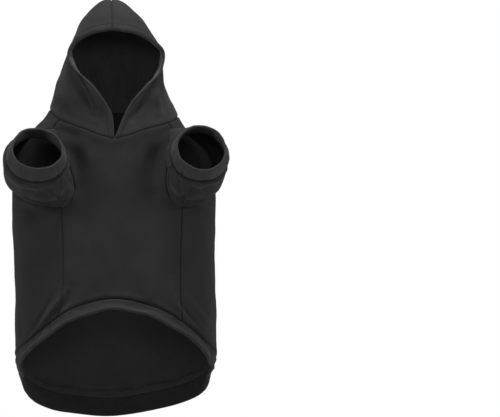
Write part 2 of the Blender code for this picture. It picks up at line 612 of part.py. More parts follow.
def hood_half(side, rows, columns):
    """Middle of one hood half's cloth, and the directions from it to the outer and the inner face."""
    sign = -1.0 if side == "left" else 1.0
    points, outward, u, v, lengths = hood_grid(side, rows, columns)
    flare = smooth(FACE_EDGE, "along", "flare", v[:, 0]) * HOOD_WIDTH
    from_edge = u * lengths[:, None]
    push = flare[:, None] * np.exp(-((from_edge / (2.2 * HOOD_HEM)) ** 2))
    points[..., 0] += push
    mirrored = points * np.array([sign, 1.0, 1.0])
    calm = np.clip(v / 0.10, 0.0, 1.0)
    lift = fold_heights(HOOD_FOLDS, mirrored, HOOD_WIDTH, HOOD_HEIGHT, HOOD_HEM) * calm
    points = points + outward * lift[..., None]
    on_seam = (u >= 1.0 - 1e-9) | (v >= 1.0 - 1e-9)
    outward[..., 0] = np.where(on_seam, 0.0, outward[..., 0])
    outward = unit(outward)
    points[..., 0] = np.where(on_seam, 0.0, points[..., 0])
    points[..., 0] = np.maximum(points[..., 0], 0.0) + SEAM_GAP / 2.0
    outward[0] = neck_mitre(180.0 * sign * u[0]) * np.array([sign, 1.0, 1.0])
    outward[0, (0, -1), 0] = 0.0
    points[0] = points[0] + np.array([0.0, 0.0, SEAM_GAP / 2.0])
    doubled = from_edge < HOOD_HEM
    outer = np.full(u.shape, CLOTH / 2.0)
    inner = np.where(doubled, HOOD_HEM_CLOTH - CLOTH / 2.0, CLOTH / 2.0)
    outer[:, 0] = CLOTH * 0.15
    inner[:, 0] = HOOD_HEM_CLOTH * 0.45
    flip = np.array([sign, 1.0, 1.0])
    points = points * flip
    outward = outward * flip
    lean = HOOD_LEAN * np.clip(points[..., 2] / HOOD_HEIGHT, 0.0, None) ** 1.5
    points[..., 0] += lean
    return points, outward * outer[..., None], outward * inner[..., None]


def sleeve_axes(side):
    """The sleeve's cuff: middle of its mouth, the way it points, and its sideways and upward directions."""
    look = SLEEVES[side]
    sign = -1.0 if side == "left" else 1.0
    turn = math.radians(look["turn"])
    lift = math.radians(look["lift"])
    point = np.array([sign * math.sin(turn) * math.cos(lift), -math.cos(turn) * math.cos(lift), math.sin(lift)])
    mouth = np.array([sign * look["side_share"] * CHEST_WIDTH / 2.0, -SLEEVE_REACH, -SLEEVE_DROP * look["drop_share"]])
    inward = unit(np.cross(np.array([0.0, 0.0, 1.0]), point)) * sign
    if inward[0] * sign > 0:
        inward = -inward
    upward = unit(np.cross(inward, point))
    if upward[2] < 0:
        upward = -upward
    return mouth, point, inward, upward


def ring_turns(steps):
    """Angles round an armhole: down its front edge from the top, and back up its rear edge."""
    down = np.arange(steps) * 180.0 / steps
    return np.concatenate([down, down + 180.0])


def armhole_loop(side, steps):
    """Points of the armhole's edge, the direction into the hole along the body, and the body's outward one."""
    sign = -1.0 if side == "left" else 1.0
    turns = ring_turns(steps)
    front = turns <= 180.0
    place = np.where(front, turns, 360.0 - turns)
    front_angle, height = armhole(side, place, "front")
    rear_angle, _ = armhole(side, place, "rear")
    angle = np.where(front, front_angle, rear_angle)
    points = body_surface(sign * angle, height)[0]
    outward = body_normal(sign * angle, height)
    tangent = np.roll(points, -1, axis=0) - np.roll(points, 1, axis=0)
    into = unit(np.cross(outward, unit(tangent)))
    heart = points.mean(axis=0)
    wrong = np.sum(into * (heart - points), axis=-1) < 0
    into = np.where(wrong[:, None], -into, into)
    return points, into, outward, turns


def cuff_ring(side, turns, back, wide_share, width):
    """A round of points about the cuff's axis, this far back from its mouth."""
    mouth, point, inward, upward = sleeve_axes(side)
    radians = np.radians(turns)[:, None]
    spoke = np.cos(radians) * upward + np.sin(radians) * inward
    radius = width * SLEEVES[side]["size_share"] / 2.0 * wide_share
    return mouth - point * back + spoke * radius, spoke


def sleeve(side):
    """Rows of the sleeve's cloth from inside the armhole to the cuff seam."""
    points, into, outward, turns = armhole_loop(side, ARMHOLE_STEPS)
    base = points + into * (SEAM_GAP + CLOTH / 2.0)
    start = base + outward * (CLOTH * 0.9)
    seam_ring, spoke = cuff_ring(side, turns, CUFF_LENGTH + SEAM_GAP, 1.0, CUFF_SEAM_WIDTH - DOUBLED_CLOTH)
    mouth, point, inward, upward = sleeve_axes(side)
    span = np.linalg.norm(seam_ring - start, axis=-1)[:, None]
    leave = outward * 0.38 * span
    arrive = point * 1.0 * span
    low_outside = np.clip(np.cos(np.radians(turns - SLACK_TURN)), 0.0, None)[:, None] ** 2
    held_in = 1.0 - SLEEVES[side]["slack"] * low_outside
    rows = [base - outward * (CLOTH * 0.4), start]
    for k in range(1, SLEEVE_STEPS + 1):
        t = k / SLEEVE_STEPS
        run = (2 * t**3 - 3 * t**2 + 1) * start + (t**3 - 2 * t**2 + t) * leave
        run = run + (3 * t**2 - 2 * t**3) * seam_ring + (t**3 - t**2) * arrive
        full = SLEEVE_FULLNESS * 1.75 * t**1.8 * (1.0 - t**8)
        rows.append(run + spoke * full * held_in)
    grid = np.stack(rows)
    facing = grid_normals(grid)
    facing = np.where(np.sum(facing[-2] * spoke) < 0, -facing, facing)
    facing[0] = -into
    facing[1] = -into
    facing[-1] = spoke
    return grid, facing * CLOTH / 2.0, facing * CLOTH / 2.0


def grid_normals(grid):
    """Directions across a sheet that closes on itself round its columns."""
    round_step = np.roll(grid, -1, axis=1) - np.roll(grid, 1, axis=1)
    climb_step = np.gradient(grid, axis=0)
    return unit(np.cross(round_step, climb_step))


def cuff(side):
    turns = ring_turns(ARMHOLE_STEPS)
    rows = []
    thick = []
    for row in CUFF_ROWS:
        width = CUFF_SEAM_WIDTH + (CUFF_MOUTH_WIDTH - CUFF_SEAM_WIDTH) * row["taper"] - DOUBLED_CLOTH
        ring, spoke = cuff_ring(side, turns, CUFF_LENGTH * (1.0 - row["along"]), 1.0, width)
        rows.append(ring)
        thick.append(row["thick"] * DOUBLED_CLOTH / 2.0)
    grid = np.stack(rows)
    half = np.array(thick)[:, None, None] * spoke[None]
    return grid, half, half


def hem_band():
    """Rows of the band from the hem seam to its free edge, once round the body."""
    angle = hem_angles()
    place = body_surface(angle, hem_height(angle))[0]
    place = place + band_direction(angle, BAND_ROWS[0]["lean"]) * SEAM_GAP / 2.0
    rows = []
    halves = []
    last = 0.0
    for row in BAND_ROWS:
        place = place + band_direction(angle, row["lean"]) * (row["across"] - last) * BAND_WIDTH
        last = row["across"]
        rows.append(place)
        facing = band_normal(angle, row["lean"]) if last > 0.0 else hem_mitre(angle)
        halves.append(facing * row["thick"] * DOUBLED_CLOTH / 2.0)
    grid = np.stack(rows)
    across = np.stack(halves)
    return grid, across, across


def body_sheet(edge):
    angles, heights = body_panel(edge)
    points, outward = body_surface(angles, heights)
    outward[0] = neck_mitre(angles[0])
    outward[-1] = hem_mitre(angles[-1])
    points[0] -= np.array([0.0, 0.0, SEAM_GAP / 2.0])
    points[-1] += np.array([0.0, 0.0, SEAM_GAP / 2.0])
    half = outward * CLOTH / 2.0
    return points, half, half


def wall(name, grid, to_outer, to_inner, closed_round):
    """One closed wall of cloth from the middle of a sheet and the way to its two faces."""
    rows, columns = grid.shape[:2]
    mesh = bmesh.new()
    outer = [[mesh.verts.new(p) for p in row] for row in grid + to_outer]
    inner = [[mesh.verts.new(p) for p in row] for row in grid - to_inner]
    last = columns if closed_round else columns - 1
    for i in range(rows - 1):
        for j in range(last):
            k = (j + 1) % columns
            mesh.faces.new((outer[i][j], outer[i][k], outer[i + 1][k], outer[i + 1][j]))
            mesh.faces.new((inner[i][j], inner[i + 1][j], inner[i + 1][k], inner[i][k]))
    for j in range(last):
        k = (j + 1) % columns
        mesh.faces.new((outer[0][j], inner[0][j], inner[0][k], outer[0][k]))
        mesh.faces.new((outer[-1][j], outer[-1][k], inner[-1][k], inner[-1][j]))
    if not closed_round:
        for i in range(rows - 1):
            mesh.faces.new((outer[i][0], outer[i + 1][0], inner[i + 1][0], inner[i][0]))
            mesh.faces.new((outer[i][-1], inner[i][-1], inner[i + 1][-1], outer[i + 1][-1]))
    bmesh.ops.triangulate(mesh, faces=mesh.faces[:], quad_method="SHORT_EDGE")
    bmesh.ops.recalc_face_normals(mesh, faces=mesh.faces[:])
    if mesh.calc_volume(signed=True) < 0:
        bmesh.ops.reverse_faces(mesh, faces=mesh.faces[:])
    data = bpy.data.meshes.new(name)
    mesh.to_mesh(data)
    mesh.free()
    data.shade_smooth()
    data.set_sharp_from_angle(angle=math.radians(50))
    piece = bpy.data.objects.new(name, data)
    bpy.context.scene.collection.objects.link(piece)
    data.materials.append(fleece(name))
    return piece


def fleece(name):
    material = bpy.data.materials.new(name)
    material.use_nodes = True
    shader = material.node_tree.nodes["Principled BSDF"]
    shader.inputs["Base Color"].default_value = (*CLOTH_LOOKS[name], 1.0)
    shader.inputs["Roughness"].default_value = 0.92
    shader.inputs["Metallic"].default_value = 0.0
    return material


def build():
    for old in list(bpy.data.objects):
        bpy.data.objects.remove(old, do_unlink=True)
    wall("chest_panel", *body_sheet("front"), False)
    wall("back_panel", *body_sheet("rear"), False)
    for side in ("left", "right"):
        wall("hood_" + side, *hood_half(side, HOOD_ROWS, HOOD_COLUMNS), False)
        wall("sleeve_" + side, *sleeve(side), True)
        wall("cuff_" + side, *cuff(side), True)
    wall("hem_band", *hem_band(), True)


build()
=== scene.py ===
import math

import bmesh
import bpy
import numpy as np
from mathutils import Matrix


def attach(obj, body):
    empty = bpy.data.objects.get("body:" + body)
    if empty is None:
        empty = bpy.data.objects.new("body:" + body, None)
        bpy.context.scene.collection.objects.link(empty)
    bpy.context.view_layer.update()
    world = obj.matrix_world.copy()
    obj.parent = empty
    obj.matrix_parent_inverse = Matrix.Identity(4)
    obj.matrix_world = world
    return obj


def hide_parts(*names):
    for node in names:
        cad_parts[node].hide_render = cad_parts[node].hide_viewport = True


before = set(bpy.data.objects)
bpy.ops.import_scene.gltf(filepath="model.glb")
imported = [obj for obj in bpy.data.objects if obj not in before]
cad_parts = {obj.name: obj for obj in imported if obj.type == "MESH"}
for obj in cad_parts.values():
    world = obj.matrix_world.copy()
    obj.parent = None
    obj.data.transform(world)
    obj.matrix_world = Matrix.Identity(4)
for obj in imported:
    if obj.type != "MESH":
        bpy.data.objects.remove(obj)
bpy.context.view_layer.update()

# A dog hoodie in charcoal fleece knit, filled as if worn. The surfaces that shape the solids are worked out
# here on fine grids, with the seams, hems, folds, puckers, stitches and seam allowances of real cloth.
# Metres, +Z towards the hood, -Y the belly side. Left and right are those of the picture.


def table(names, *rows):
    """Rows of values, each read by its column's name."""
    return [dict(zip(names.split(), row)) for row in rows]


# Body
CHEST_WIDTH = 0.2690
CHEST_DEPTH = 0.1400
NECK_WIDTH = 0.1700
NECK_DEPTH = 0.1240
FRONT_DROP = 0.2330
SIDE_DROP = 0.3120
BACK_DROP = 0.3655
HEM_SKEW = 0.0080  # the back of the hem hangs lower on the left side than on the right
HEM_LEFT_SAG = 0.0045  # the hem sags by this at the belly's left corner
HEM_SAG_ANGLE = -43.0
HEM_SAG_SPREAD = 17.0
NECK_FRONT_DIP = 0.0200
NECK_SIDE_RISE = 0.0145
NECK_TILT = 0.0048  # the neck seam stands higher on the left side than on the right by twice this
NECK_BACK_RISE = 0.0140
NECK_UNEVEN = 0.060  # how much narrower the shoulder is on the right side, as a share

# Cloth
CLOTH = 0.0022
DOUBLED_CLOTH = 0.0036
SEAM_GAP = 0.0001  # the cloth closes up to a tenth of a millimetre at the seams

# Hem band and cuffs
BAND_WIDTH = 0.0270
CUFF_LENGTH = 0.0220
CUFF_MOUTH_WIDTH = 0.0715
CUFF_SEAM_WIDTH = 0.0795

# Armholes and sleeves
ARMHOLE_HEIGHT = 0.1020
ARMHOLE_DROP = 0.0580
SLEEVE_REACH = 0.1060
SLEEVE_DROP = 0.0335
SLEEVE_FULLNESS = 0.0075
SLACK_TURN = 235.0  # where round a sleeve it is less full: low on its outer side

# Hood
HOOD_HEIGHT = 0.1650
HOOD_DEPTH = 0.1560
HOOD_WIDTH = 0.1690
HOOD_HEM = 0.0100
HOOD_HEM_CLOTH = 0.0042
HOOD_LEAN = -0.0040

# How finely each piece is divided.
SHOULDER_ROWS = 20
ARMHOLE_ROWS = 56
FLANK_ROWS = 92
CHEST_COLUMNS = 96
BACK_COLUMNS = 190
HOOD_ROWS = 150
HOOD_HEM_COLUMNS = 20
HOOD_REST_COLUMNS = 120
SLEEVE_ROWS = 62
RING_STEPS = 84  # on each half of a sleeve's round
CUFF_ROWS_FINE = 34
BAND_COLUMNS = 420
BAND_ROWS_FINE = 34
HOOD_SAMPLES = 70
STITCH_SIDES = 6
STITCH_RINGS = 5
SHARP_ANGLE = 62.0

# Seams: how deep the groove is, how wide, and how far the cloth beside it stands up.
GROOVE = 0.00180
GROOVE_WIDTH = 0.00115
SEAM_PUFF = 0.00045
PUFF_PLACE = 0.0050
PUFF_WIDTH = 0.0035
PUCKER = 0.00028
PUCKER_STEP = 0.0085
PUCKER_REACH = 0.0070

# Seam allowances: the two plies of cloth left inside a seam, sewn together and lying to one side.
ALLOWANCE = 0.0070
ALLOWANCE_THICK = 0.0019
ALLOWANCE_OVER = 0.0016  # how far it reaches past the seam on its other side
ALLOWANCE_WAVE = 0.0007
ALLOWANCE_LIFT = 0.0008  # how far its free edge stands off the cloth
HOOD_ALLOWANCE_LIFT = 0.0030
HOOD_ALLOWANCE_WAVE = 0.0016
ALLOWANCE_STEP = 0.0022
ALLOWANCE_WAVE_LENGTH = 0.022
ALLOWANCE_EDGE_LENGTH = 0.013

# Near a seam the cloth turns towards its mate, and folds and wrinkles die out.
BODY_MITRE = 0.005
NECK_CALM = 0.014
HEM_CALM = 0.012
HEM_WRINKLES = 0.045
NECK_WRINKLES = 0.035
HOOD_NECK_WRINKLES = 0.030
HOOD_CALM = 0.10  # as a share of the way up from the neck
HOOD_EDGE_CALM = 0.015
FLARE_REACH = 2.2  # how far the flare of the face edge reaches, in widths of its hem
SLEEVE_BODY_MITRE = 0.006
SLEEVE_BODY_CALM = 0.008
SLEEVE_CUFF_CALM = 0.006
SLEEVE_GATHER = 0.012
RIM_CALM = 0.003
FOLD_EDGE = 0.10  # folds fade out towards the body's sides, by this share of its depth
HEM_OVERHANG = 0.0007
HEM_OVERHANG_PLACE = 0.0055
HEM_OVERHANG_WIDTH = 0.0045

# The stitched hem of the face edge, and its thread.
STITCH_PLACE = 0.90  # as a share of the hem's width
STITCH_WIDTH = 0.0011
STITCH_DENT = 0.00075
STITCH_INNER_DENT = 0.0006
STITCH_BUMP = 0.00022
STITCH_BUMP_STEP = 0.0034
HEM_PUFF = 0.0006
OUTER_STITCH = dict(length=0.0026, gap=0.0008, radius=0.00030)
INNER_STITCH = dict(length=0.0022, gap=0.0014, radius=0.00038)

# The slack of the sleeves: how the cloth leaves the body and reaches the cuff, and how it sags underneath.
SLEEVE_LEAVE = 0.38
SLEEVE_BULGE = 1.75
SLEEVE_SAG = 0.0030
SLEEVE_SAG_WAVES = 2.3
SLEEVE_UNDER_TURN = 190.0
SLEEVE_UNDER_SPREAD = 62.0
SLEEVE_SEAM_TURN = 42.0
CUFF_JOIN_TURN = 138.0
CUFF_BULGE = 0.0008
BAND_JOIN_ANGLE = -36.0

# Soft wrinkles: height, length of the waves, seed, and how each axis is squeezed.
WRINKLES = {
    "body": (0.00075, 0.085, 11, (1.0, 1.0, 0.6)),
    "body fine": (0.00022, 0.030, 12),
    "body at hem": (0.00045, 0.028, 13, (1.3, 1.3, 0.5)),
    "body at neck": (0.00040, 0.024, 14, (1.3, 1.3, 0.6)),
    "hood": (0.00060, 0.070, 21),
    "hood fine": (0.00020, 0.026, 22),
    "hood at neck": (0.00045, 0.022, 23, (1.3, 1.3, 0.6)),
    "sleeve gather": (0.00055, 0.012, 31, (1.2, 1.2, 1.2)),
    "sleeve": (0.00055, 0.045, 32),
    "sleeve fine": (0.0002, 0.018, 33),
    "cuff": (0.00035, 0.030, 41),
    "cuff fine": (0.00016, 0.011, 42),
    "band": (0.00060, 0.050, 51),
    "band fine": (0.00022, 0.017, 52),
    "band gather": (0.00040, 0.013, 53, (1.0, 1.0, 0.4)),
}

# The neck seam and the hem by angle: shares of their front, side and back heights.
NECK_LINE = table(
    "angle front side back",
    (0, 1.00, 0.00, 0.00),
    (9, 0.87, 0.13, 0.00),
    (23, 0.62, 0.38, 0.00),
    (54, 0.30, 0.70, 0.00),
    (75, 0.08, 0.92, 0.00),
    (90, 0.00, 1.00, 0.00),
    (110, 0.00, 1.00, 0.00),
    (130, 0.00, 0.80, 0.20),
    (150, 0.00, 0.40, 0.60),
    (180, 0.00, 0.00, 1.00),
    (210, 0.00, 0.40, 0.60),
)
HEM_LINE = table(
    "angle front side back",
    (-20, 0.87, 0.13, 0.00),
    (0, 1.00, 0.00, 0.00),
    (20, 0.87, 0.13, 0.00),
    (40, 0.59, 0.41, 0.00),
    (60, 0.28, 0.72, 0.00),
    (75, 0.14, 0.86, 0.00),
    (90, 0.00, 1.00, 0.00),
    (110, 0.00, 0.67, 0.33),
    (130, 0.00, 0.36, 0.64),
    (150, 0.00, 0.16, 0.84),
    (180, 0.00, 0.00, 1.00),
    (210, 0.00, 0.16, 0.84),
)
# The body by height, as a share of the back's length: how far width and depth have grown from the
# neck's to the chest's, how square it is, how much the right side is pulled in, and its drift sideways.
BODY_SECTIONS = table(
    "height width depth square uneven drift",
    (0.080, -0.06, -0.10, 0.015, 1.00, 0.000),
    (0.055, 0.00, 0.00, 0.015, 1.00, 0.000),
    (0.022, 0.11, 0.10, 0.015, 0.90, -0.002),
    (-0.014, 0.31, 0.22, 0.015, 0.40, -0.014),
    (-0.055, 0.60, 0.40, 0.020, 0.20, -0.010),
    (-0.095, 0.83, 0.62, 0.025, 0.10, -0.004),
    (-0.136, 0.95, 0.80, 0.030, 0.00, 0.000),
    (-0.190, 1.00, 0.95, 0.030, 0.00, 0.000),
    (-0.270, 1.00, 1.02, 0.030, 0.00, 0.001),
    (-0.450, 0.99, 1.00, 0.030, 0.00, 0.002),
    (-0.620, 0.98, 0.94, 0.030, 0.00, 0.004),
    (-0.800, 0.975, 0.92, 0.025, 0.00, 0.007),
    (-0.920, 0.945, 0.91, 0.020, 0.00, 0.008),
    (-1.060, 0.900, 0.90, 0.015, 0.00, 0.008),
)
# The seam between chest and back, below the armhole: share of the way down, angle on each side.
LONG_SEAM = table(
    "down left right",
    (0.00, 29.0, 38.5),
    (0.33, 27.7, 37.5),
    (0.66, 27.7, 37.0),
    (0.90, 29.5, 37.5),
    (1.00, 31.0, 39.0),
)
ARMHOLE_TOP_ANGLE = 50.0
ARMHOLE_FRONT_SWEEP = 15.0
ARMHOLE_REAR_SWEEP = 48.0
SLEEVES = {
    "left": dict(side_share=0.760, drop_share=1.00, size_share=1.00, turn=-6.0, lift=38.5, slack=0.45),
    "right": dict(side_share=0.858, drop_share=0.98, size_share=0.96, turn=8.0, lift=27.0, slack=0.90),
}
# How far the band leans out, by angle, and how much it leans straight ahead.
BAND_FLARE = table(
    "angle lean forward",
    (0, 60.0, 1.00),
    (30, 60.0, 1.00),
    (52, 61.0, 1.00),
    (62, 52.0, 1.00),
    (70, 24.0, 0.90),
    (77, -8.0, 0.30),
    (84, -18.0, 0.05),
    (92, -19.0, 0.00),
    (105, -13.0, 0.00),
    (125, -7.0, 0.00),
    (150, -8.0, 0.00),
    (180, -6.0, 0.00),
)
# Share of the band's width and share of its full lean.
BAND_ROWS = table(
    "across lean",
    (0.00, 0.35),
    (0.07, 0.50),
    (0.30, 0.90),
    (0.65, 1.10),
    (0.92, 1.15),
    (1.00, 1.15),
)
# Share of the cuff's length and share of its narrowing.
CUFF_ROWS = table(
    "along taper",
    (0.00, 0.00),
    (0.08, -0.05),
    (0.50, 0.42),
    (0.90, 0.95),
    (1.00, 1.00),
)
# The hood by height: its half widths, half depth and shift, as shares of its width and depth.
HOOD_SECTIONS = table(
    "height left right depth shift",
    (-0.12, 0.530, 0.510, 0.410, 0.000),
    (0.00, 0.520, 0.480, 0.400, 0.000),
    (0.12, 0.502, 0.448, 0.395, 0.000),
    (0.23, 0.470, 0.412, 0.423, -0.006),
    (0.35, 0.434, 0.388, 0.452, -0.012),
    (0.47, 0.402, 0.390, 0.468, -0.018),
    (0.59, 0.374, 0.400, 0.487, -0.022),
    (0.72, 0.352, 0.364, 0.500, -0.018),
    (0.84, 0.335, 0.330, 0.500, -0.010),
    (0.92, 0.296, 0.290, 0.500, 0.000),
    (1.00, 0.262, 0.258, 0.500, 0.000),
)
HOOD_ROUND_START = 0.115
HOOD_CROWN_POWER = 3.0
HOOD_SECTION_POWER = 2.4
HOOD_HEART = 0.36
HOOD_CORNER = 0.91
# The face edge from the throat to the forehead, as shares of the hood's width and height.
FACE_EDGE = table(
    "along left right height flare",
    (0.00, 0.000, 0.000, -0.121, 0.000),
    (0.14, 0.012, 0.065, 0.045, 0.000),
    (0.28, 0.062, 0.130, 0.165, 0.000),
    (0.42, 0.150, 0.245, 0.305, 0.006),
    (0.56, 0.255, 0.335, 0.430, 0.026),
    (0.70, 0.300, 0.345, 0.545, 0.044),
    (0.83, 0.262, 0.285, 0.650, 0.034),
    (0.92, 0.140, 0.162, 0.727, 0.010),
    (1.00, 0.000, 0.000, 0.752, 0.000),
)

# How far the hem of the face edge rolls out, with a valley behind it, as a share of the hem's width.
FACE_EDGE_ROLL = table(
    "along left right",
    (0.00, 0.00, 0.00),
    (0.15, 0.16, 0.06),
    (0.35, 0.46, 0.16),
    (0.55, 0.42, 0.20),
    (0.72, 0.12, 0.12),
    (0.88, 0.05, 0.05),
    (1.00, 0.05, 0.05),
)

# Where the roll and the valley lie behind the face edge, as shares of the hem's width.
ROLL_PLACE = 0.35
ROLL_WIDTH = 0.75
VALLEY_PLACE = 1.80
VALLEY_WIDTH = 0.55
VALLEY_DEPTH = 0.90

# Creases under a sleeve: how deep, where round the armhole, how far it turns, and how wide, in degrees.
SLEEVE_CREASES = table(
    "depth turn drift width",
    (0.0034, 125.0, -34.0, 9.0),
    (0.0028, 158.0, 12.0, 7.0),
    (0.0024, 214.0, -20.0, 8.0),
)

# Outline of a seam allowance: shares of its reach behind the seam, of its width, and of its thickness.
ALLOWANCE_OUTLINE = [
    (-1.0, 0.0, -0.15), (-0.9, 0.0, 0.45), (-0.2, 0.0, 0.90), (0.0, 0.25, 1.00), (0.0, 0.55, 0.95),
    (0.0, 0.85, 0.90), (0.0, 1.00, 0.55), (0.0, 0.88, 0.20), (0.0, 0.50, 0.05), (0.0, 0.10, -0.15),
]

# Folds: three points of the fold's line as sideways and height shares, then width and height as shares.
HOOD_FOLDS = table(
    "name xs zs width rise",
    ("left valley", (-0.31, -0.235, -0.14), (0.40, 0.23, 0.05), 0.48, -0.46),
    ("left roll", (-0.41, -0.36, -0.27), (0.34, 0.18, 0.04), 0.90, 0.22),
    ("right ridge", (0.33, 0.315, 0.33), (0.33, 0.20, 0.08), 0.60, 0.42),
    ("right valley", (0.24, 0.19, 0.13), (0.24, 0.14, 0.04), 0.52, -0.42),
)
HOOD_FINE_FOLDS = table(
    "name xs zs width rise",
    ("left inner crease", (-0.27, -0.215, -0.175), (0.33, 0.20, 0.10), 0.20, -0.17),
    ("left tuck", (-0.20, -0.165, -0.14), (0.10, 0.06, 0.045), 0.18, -0.16),
    ("left pleat", (-0.16, -0.135, -0.115), (0.09, 0.02, -0.05), 0.16, 0.12),
    ("right lower crease", (0.37, 0.385, 0.41), (0.26, 0.14, 0.06), 0.30, -0.20),
    ("right soft edge", (0.27, 0.255, 0.27), (0.30, 0.18, 0.07), 0.30, -0.10),
    ("crown left dent", (-0.30, -0.27, -0.22), (0.76, 0.84, 0.90), 0.60, -0.10),
    ("crown right dent", (0.12, 0.20, 0.28), (0.94, 0.90, 0.84), 0.50, -0.07),
)
HOOD_REAR_FOLDS = table(
    "name xs zs width rise",
    ("inside left", (-0.175, -0.155, -0.085), (0.66, 0.48, 0.26), 0.42, 0.52),
    ("inside right", (0.155, 0.130, 0.100), (0.56, 0.34, 0.16), 0.40, 0.50),
    ("inside top", (-0.12, 0.00, 0.13), (0.55, 0.60, 0.56), 0.60, 0.26),
    ("inside right roll", (0.06, 0.08, 0.07), (0.50, 0.34, 0.20), 0.42, -0.36),
    ("inside left hollow", (-0.300, -0.270, -0.190), (0.66, 0.46, 0.18), 1.00, -0.75),
    ("inside right hollow", (0.280, 0.250, 0.190), (0.60, 0.38, 0.14), 1.00, -0.75),
    ("inside middle roll", (0.020, 0.050, 0.030), (0.60, 0.42, 0.24), 0.45, -0.30),
    ("nape left", (-0.26, -0.17, -0.05), (0.02, 0.10, 0.12), 0.45, -0.14),
    ("nape right", (0.27, 0.18, 0.05), (0.03, 0.11, 0.12), 0.45, -0.14),
)
BODY_FOLDS = table(
    "name xs zs width rise",
    ("left hem gather", (-0.270, -0.335, -0.415), (-0.615, -0.690, -0.785), 0.28, 0.17),
    ("left hem hollow", (-0.220, -0.245, -0.330), (-0.600, -0.675, -0.760), 0.24, -0.12),
    ("right hem gather", (0.290, 0.310, 0.330), (-0.605, -0.660, -0.700), 0.22, 0.14),
    ("right hem fold", (0.340, 0.410, 0.470), (-0.680, -0.745, -0.800), 0.24, 0.15),
    ("left arm fold", (-0.470, -0.400, -0.310), (-0.306, -0.330, -0.308), 0.26, -0.18),
    ("right arm fold", (0.335, 0.400, 0.480), (-0.277, -0.302, -0.332), 0.26, -0.18),
    ("left chest crease", (-0.215, -0.195, -0.190), (-0.040, -0.130, -0.230), 0.46, -0.36),
    ("right chest crease", (0.235, 0.205, 0.210), (-0.030, -0.130, -0.240), 0.46, -0.36),
    ("neck pucker left", (-0.110, -0.100, -0.085), (-0.035, -0.085, -0.150), 0.35, -0.05),
    ("neck pucker right", (0.110, 0.105, 0.085), (-0.035, -0.090, -0.160), 0.35, -0.05),
)
BODY_FINE_FOLDS = table(
    "name xs zs width rise",
    ("left hem crease", (-0.230, -0.290, -0.372), (-0.600, -0.665, -0.760), 0.13, 0.170),
    ("left hem side", (-0.285, -0.350, -0.425), (-0.610, -0.690, -0.785), 0.14, -0.190),
    ("right hem crease", (0.315, 0.380, 0.440), (-0.650, -0.710, -0.770), 0.12, -0.170),
    ("right hem side", (0.350, 0.415, 0.470), (-0.630, -0.690, -0.750), 0.15, 0.110),
    ("left arm shelf", (-0.470, -0.390, -0.300), (-0.278, -0.300, -0.284), 0.13, 0.10),
    ("right arm shelf", (0.330, 0.395, 0.470), (-0.250, -0.272, -0.300), 0.13, 0.10),
    ("belly drift left", (-0.160, -0.130, -0.120), (-0.300, -0.430, -0.560), 0.80, -0.035),
    ("belly drift right", (0.150, 0.130, 0.110), (-0.320, -0.440, -0.570), 0.80, -0.030),
    ("side drift left", (-0.380, -0.365, -0.350), (-0.400, -0.500, -0.600), 0.70, -0.040),
    ("side drift right", (0.410, 0.395, 0.400), (-0.400, -0.500, -0.600), 0.70, -0.040),
)
BODY_REAR_FOLDS = table(
    "name xs zs width rise",
    ("nape left", (-0.330, -0.230, -0.080), (-0.030, 0.000, -0.005), 0.30, 0.07),
    ("nape right", (0.330, 0.230, 0.080), (-0.030, 0.000, -0.005), 0.30, 0.07),
    ("shoulder left", (-0.390, -0.330, -0.250), (-0.060, -0.140, -0.260), 0.80, -0.08),
    ("shoulder right", (0.390, 0.330, 0.250), (-0.060, -0.140, -0.260), 0.80, -0.08),
    ("waist left", (-0.360, -0.300, -0.180), (-0.700, -0.780, -0.850), 0.60, -0.06),
    ("waist right", (0.340, 0.290, 0.200), (-0.720, -0.790, -0.840), 0.60, -0.06),
)


# Curves and small tools

def column(table, name):
    return np.array([row[name] for row in table], dtype=float)


def smooth(table, key, name, at):
    """Reads a named column at any place with a curve that passes through every row and never overshoots."""
    xs = column(table, key)
    ys = column(table, name)
    if xs[0] > xs[-1]:
        xs = xs[::-1]
        ys = ys[::-1]
    steps = np.diff(xs)
    slopes = np.diff(ys) / steps
    tangents = np.zeros_like(ys)
    same_way = slopes[1:] * slopes[:-1] > 0
    total = np.where(same_way, slopes[1:] + slopes[:-1], 1.0)
    tangents[1:-1] = np.where(same_way, 2.0 * slopes[1:] * slopes[:-1] / total, 0.0)
    tangents[0] = slopes[0]
    tangents[-1] = slopes[-1]
    at = np.clip(np.asarray(at, dtype=float), xs[0], xs[-1])
    cell = np.clip(np.searchsorted(xs, at, side="right") - 1, 0, len(steps) - 1)
    t = (at - xs[cell]) / steps[cell]
    start = (2 * t**3 - 3 * t**2 + 1) * ys[cell] + (t**3 - 2 * t**2 + t) * steps[cell] * tangents[cell]
    end = (3 * t**2 - 2 * t**3) * ys[cell + 1] + (t**3 - t**2) * steps[cell] * tangents[cell + 1]
    return start + end


def unit(vectors):
    lengths = np.linalg.norm(vectors, axis=-1, keepdims=True)
    return vectors / np.maximum(lengths, 1e-12)


def ease(x):
    x = np.clip(x, 0.0, 1.0)
    return x * x * (3.0 - 2.0 * x)


def hump(distance, width):
    return np.exp(-((distance / width) ** 2))


def crowded(count, pull):
    """Even places from nought to one, drawn towards both ends."""
    t = np.linspace(0.0, 1.0, count + 1)
    return t - pull * np.sin(2 * np.pi * t) / (2 * np.pi)


def run_lengths(points, axis):
    """How far each point is from the first, along its row or column."""
    steps = np.linalg.norm(np.diff(points, axis=axis), axis=-1)
    total = np.cumsum(steps, axis=axis)
    first = np.zeros_like(np.take(total, [0], axis=axis))
    return np.concatenate([first, total], axis=axis)


